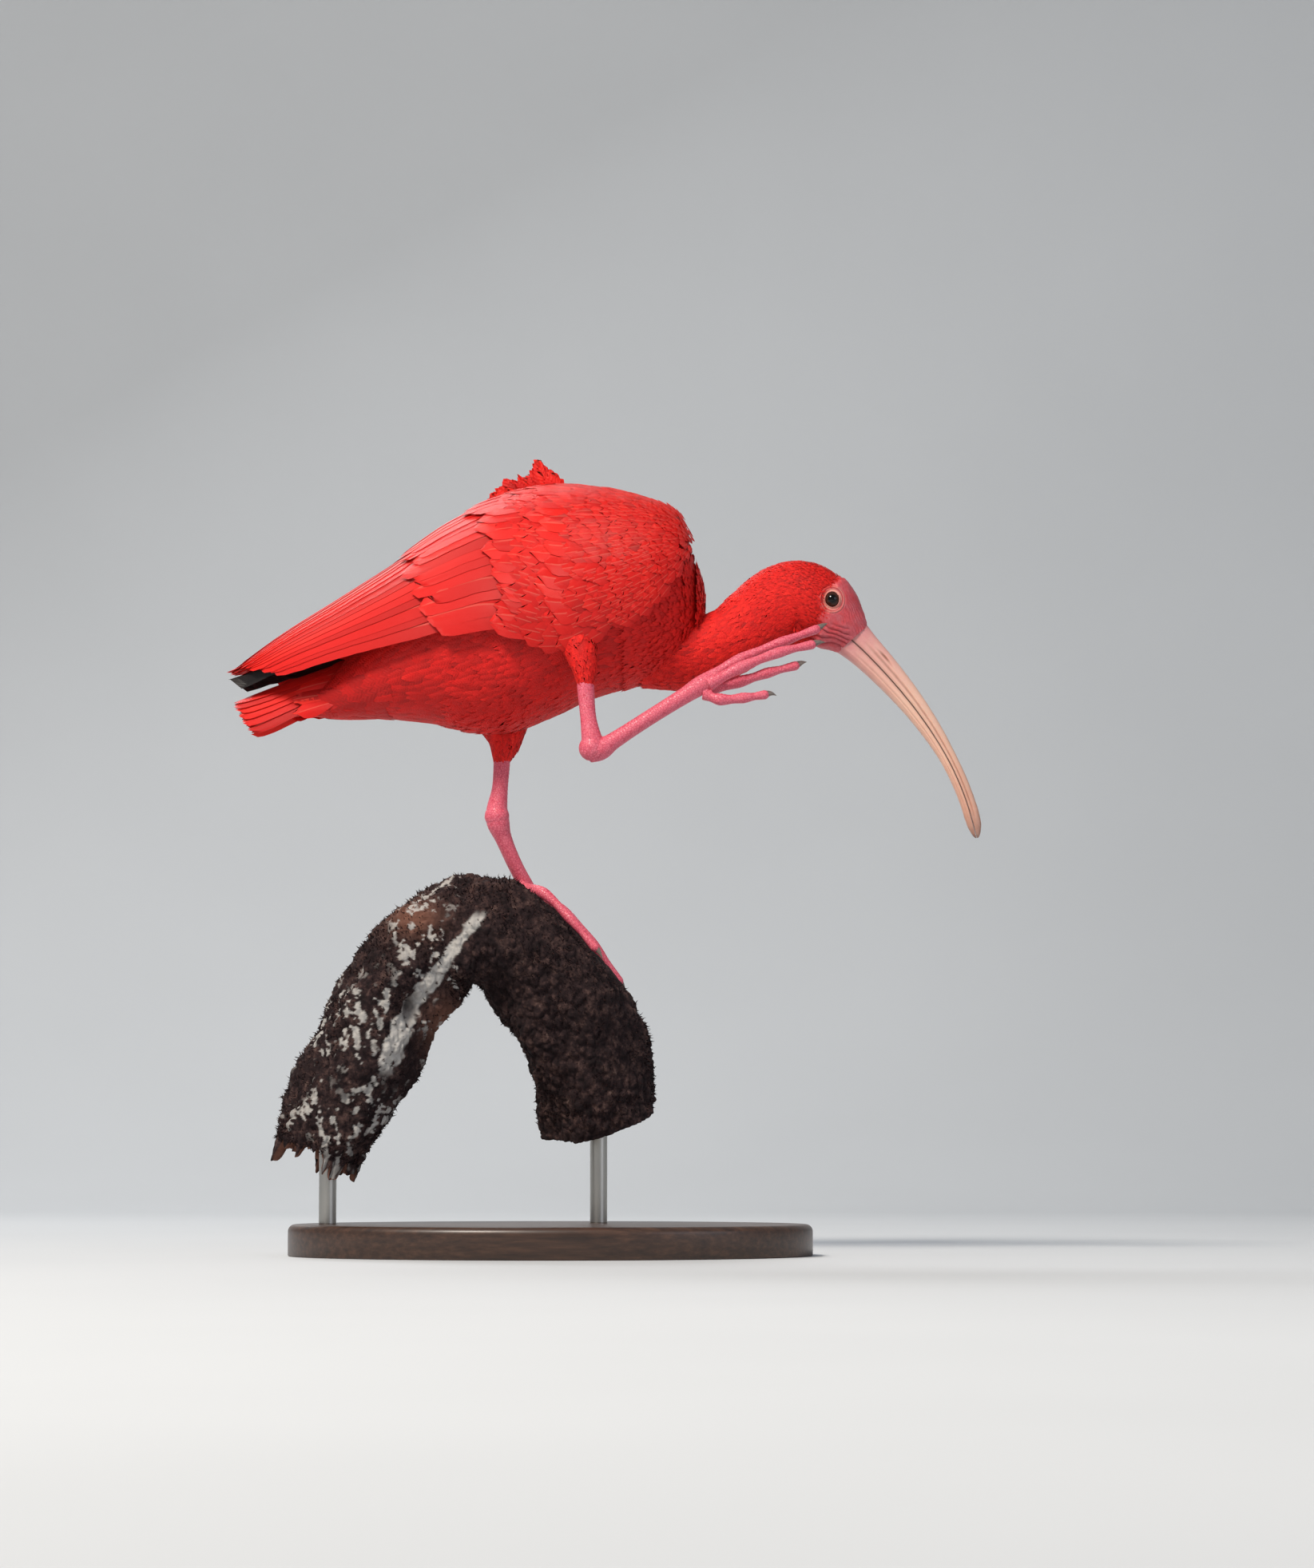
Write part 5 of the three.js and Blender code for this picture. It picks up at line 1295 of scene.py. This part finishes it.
tailSurface = {"point": tailPoint, "outward": 1, "bend": 90.0}


def tailFeathers():
    # Pairs of flight feathers fanned over the tail's roof, each pair under the one inside it, and the coverts above
    rng = np.random.default_rng(30)
    order = np.arange(tail["pairs"] * 2)
    i, leftOne = order // 2, order % 2
    v = np.where(leftOne == 1, 1, -1) * (0.5 + i) / (tail["pairs"] - 0.5)
    height = -tail["layer"] * (i + 0.5 * leftOne)
    tipX = tail["rootX"] - tail["length"] + tail["outerShorter"] * (i / (tail["pairs"] - 1)) ** 2
    root = np.column_stack([np.full(len(v), tail["rootX"]), v * 0.35, 0.25 * height])
    tip = np.column_stack([tipX, v, height])
    made = vanes(tailSurface, root, tip, tail["width"], rng=rng, rows=24, columns=10, camber=0.5, thickness=0.3,
                 ragged=0.02)
    groups = [group(made, (root[:, 0] + 190) / 280, np.clip((v + 1) / 2, 0, 1))]
    u, w = scatter(tailSurface, -126, -98, 6.0, 5.5, rng, turn=(-0.9, 0.9))
    covert = plume(tailSurface, u, w, tail["covertLength"], tail["covertWidth"], rng, height=0.0, lift=0.06,
                   sway=0.06, rows=8, ragged=0.1, uneven=0.2)
    groups.append(group(covert, (u + 190) / 280, np.clip((w + 1.2) / 2.4, 0, 1)))
    return groups


tailCoat = coatPiece("tailCoat", tailFeathers(), largeFeather, seed=9)
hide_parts("tail")

tuftCrest = along([[-38, 441], [-30, 450], [-23, 452], [-16, 456], [-9, 462], [-4, 457], [2, 448]])
back = {"mantleLength": 13.0, "mantleWidth": 7.0, "ridge": 34, "ridgeWidth": 13.0, "ruffled": 170,
        "tuftFrom": (-37, 1), "tuftThickness": 4.0}


def backFeathers():
    # The mantle between the wings, a ridge of larger feathers over it, and the ruffled tuft that stands up from it in
    # the XZ plane: its tips lie under the curve tuftCrest, lower the further aside they are
    rng = np.random.default_rng(40)
    groups = []
    u, v = scatter(torsoSurface, -90, 72, 4.0, 3.2, rng, turn=(-0.42, 0.42))
    made = plume(torsoSurface, u, v, back["mantleLength"], back["mantleWidth"], rng, height=-0.6, lift=0.14,
                 sway=0.1, rows=5, uneven=0.25)
    groups.append(group(made, (u + 152) / 240, v / (2 * math.pi) % 1))
    ridge = {"point": lambda x, y: np.stack(np.broadcast_arrays(x, y, coverTop(x) - 3 - 0.04 * y * y), -1),
             "outward": 1, "stepV": 0.5}
    n = back["ridge"]
    x = np.linspace(46, -74, n)
    y = rng.uniform(-1, 1, n) * backStrip(x)
    made = vanes(ridge, np.column_stack([x + 14, y * 0.8, np.full(n, -3.5)]),
                 np.column_stack([x - 20, y, np.full(n, 0.5)]), back["ridgeWidth"], rng=rng, rows=10, columns=6,
                 camber=0.6, thickness=0.2, ragged=0.06)
    groups.append(group(made, (x + 152) / 240, np.full(n, 0.02)))
    surface = {"point": lambda x, z: np.stack(np.broadcast_arrays(x, 0.0, z), -1), "outward": 1, "stepV": 0.5}
    n = back["ruffled"]
    tipX = rng.uniform(*back["tuftFrom"], n)
    crest = tuftCrest(tipX)
    aside = rng.normal(0, back["tuftThickness"], n)
    rootX, rootZ = tipX + rng.uniform(6, 16, n), torsoTop(tipX) - rng.uniform(2, 9, n)
    tipZ = rootZ + (crest - rootZ) * rng.uniform(0.55, 1.0, n) * np.exp(-(aside / 7) ** 2)
    made = vanes(surface, np.column_stack([rootX, rootZ, aside]), np.column_stack([tipX, tipZ, aside * 1.4]),
                 rng.uniform(4.5, 8.5, n), rng=rng, rows=12, columns=6, camber=0.6, thickness=0.15, ragged=0.22,
                 outline=[[0, 0.6], [0.45, 1.0], [0.75, 0.85], [0.93, 0.45], [1, 0.1]])
    groups.append(group(made, (rootX + 152) / 240, np.full(n, 0.5), tone=0.05))
    return groups


coatPiece("backCoat", backFeathers(), smallFeather, seed=10)


# Studio

studio = {"keyPower": 78, "keyFrom": (-1.0, -1.6, 2.2), "keySize": 0.7, "fillPower": 9, "fillFrom": (1.9, -1.6, 0.9),
          "fillSize": 1.6, "rimPower": 22, "rimFrom": (-0.8, 1.4, 1.8), "rimSize": 0.8, "aim": (0.04, 0.0, 0.3),
          "world": 0.34}  # places and sizes in metres
paper = {"reach": 5000, "turnsUpAt": 1500, "turnRadius": 900, "top": 4500}  # mm


def paperRoll():
    # Floor that turns up behind the model in a quarter circle: (x, start + radius * sin(arc), radius * (1 - cos(arc)))
    arc = np.linspace(0, math.pi / 2, 40)
    start, radius = paper["turnsUpAt"], paper["turnRadius"]
    y = np.concatenate([np.linspace(-paper["reach"], start, 30), start + radius * np.sin(arc[1:]),
                        [start + radius, start + radius]])
    z = np.concatenate([np.zeros(30), radius * (1 - np.cos(arc[1:])), [2400, paper["top"]]])
    x = np.linspace(-paper["reach"], paper["reach"], 30)[None, :]
    points = np.stack(np.broadcast_arrays(x, y[:, None], z[:, None]), -1)
    return points, gridQuads(len(y), 30)[:, ::-1], noTriangles


makePiece("studioPaper", paperRoll(), floorMaterial())


def softLight(name, power, place, size, colour):
    # A round area light at place that faces the model
    light = bpy.data.lights.new(name, "AREA")
    light.shape, light.size, light.energy = "DISK", size, power
    light.color = linear(colour)[:3]
    lamp = bpy.data.objects.new(name, light)
    bpy.context.scene.collection.objects.link(lamp)
    lamp.location = place
    aimAt(lamp, studio["aim"])


def aimAt(thing, target):
    # Turns local -Z to the target, with local Y upward
    ahead = unit(np.array(target, float) - np.array(thing.location))
    level = unit(np.cross(ahead, (0, 0, 1.0)))
    rise = np.cross(level, ahead)
    matrix = np.eye(3)
    matrix[:, 0], matrix[:, 1], matrix[:, 2] = level, rise, -ahead
    thing.rotation_euler = mathutils.Matrix(matrix.tolist()).to_euler()


softLight("keyLight", studio["keyPower"], studio["keyFrom"], studio["keySize"], "#FFF6EA")
softLight("fillLight", studio["fillPower"], studio["fillFrom"], studio["fillSize"], "#EAF1FF")
softLight("rimLight", studio["rimPower"], studio["rimFrom"], studio["rimSize"], "#FFFFFF")

world = bpy.data.worlds.new("studioAir")
world.use_nodes = True
background = world.node_tree.nodes["Background"]
background.inputs["Color"].default_value = linear("#DDE4EC")
background.inputs["Strength"].default_value = studio["world"]
bpy.context.scene.world = world
bpy.context.scene.view_settings.view_transform = "Standard"

# Camera: level with the photo's, low and a little over two metres off, looking up at the bird
view = {"middle": (60.9, 0.0, 271.0), "distance": 2210, "height": 60, "frameHeight": 903}
camera = bpy.data.cameras.new("photoCamera")
camera.sensor_fit = "VERTICAL"
camera.sensor_height = 24
camera.lens = 24 * view["distance"] / view["frameHeight"]
cameraObject = bpy.data.objects.new("photoCamera", camera)
bpy.context.scene.collection.objects.link(cameraObject)
cameraObject.location = (view["middle"][0] * mm, -view["distance"] * mm, view["height"] * mm)
aimAt(cameraObject, np.array(view["middle"]) * mm)
bpy.context.scene.camera = cameraObject

print("studio")
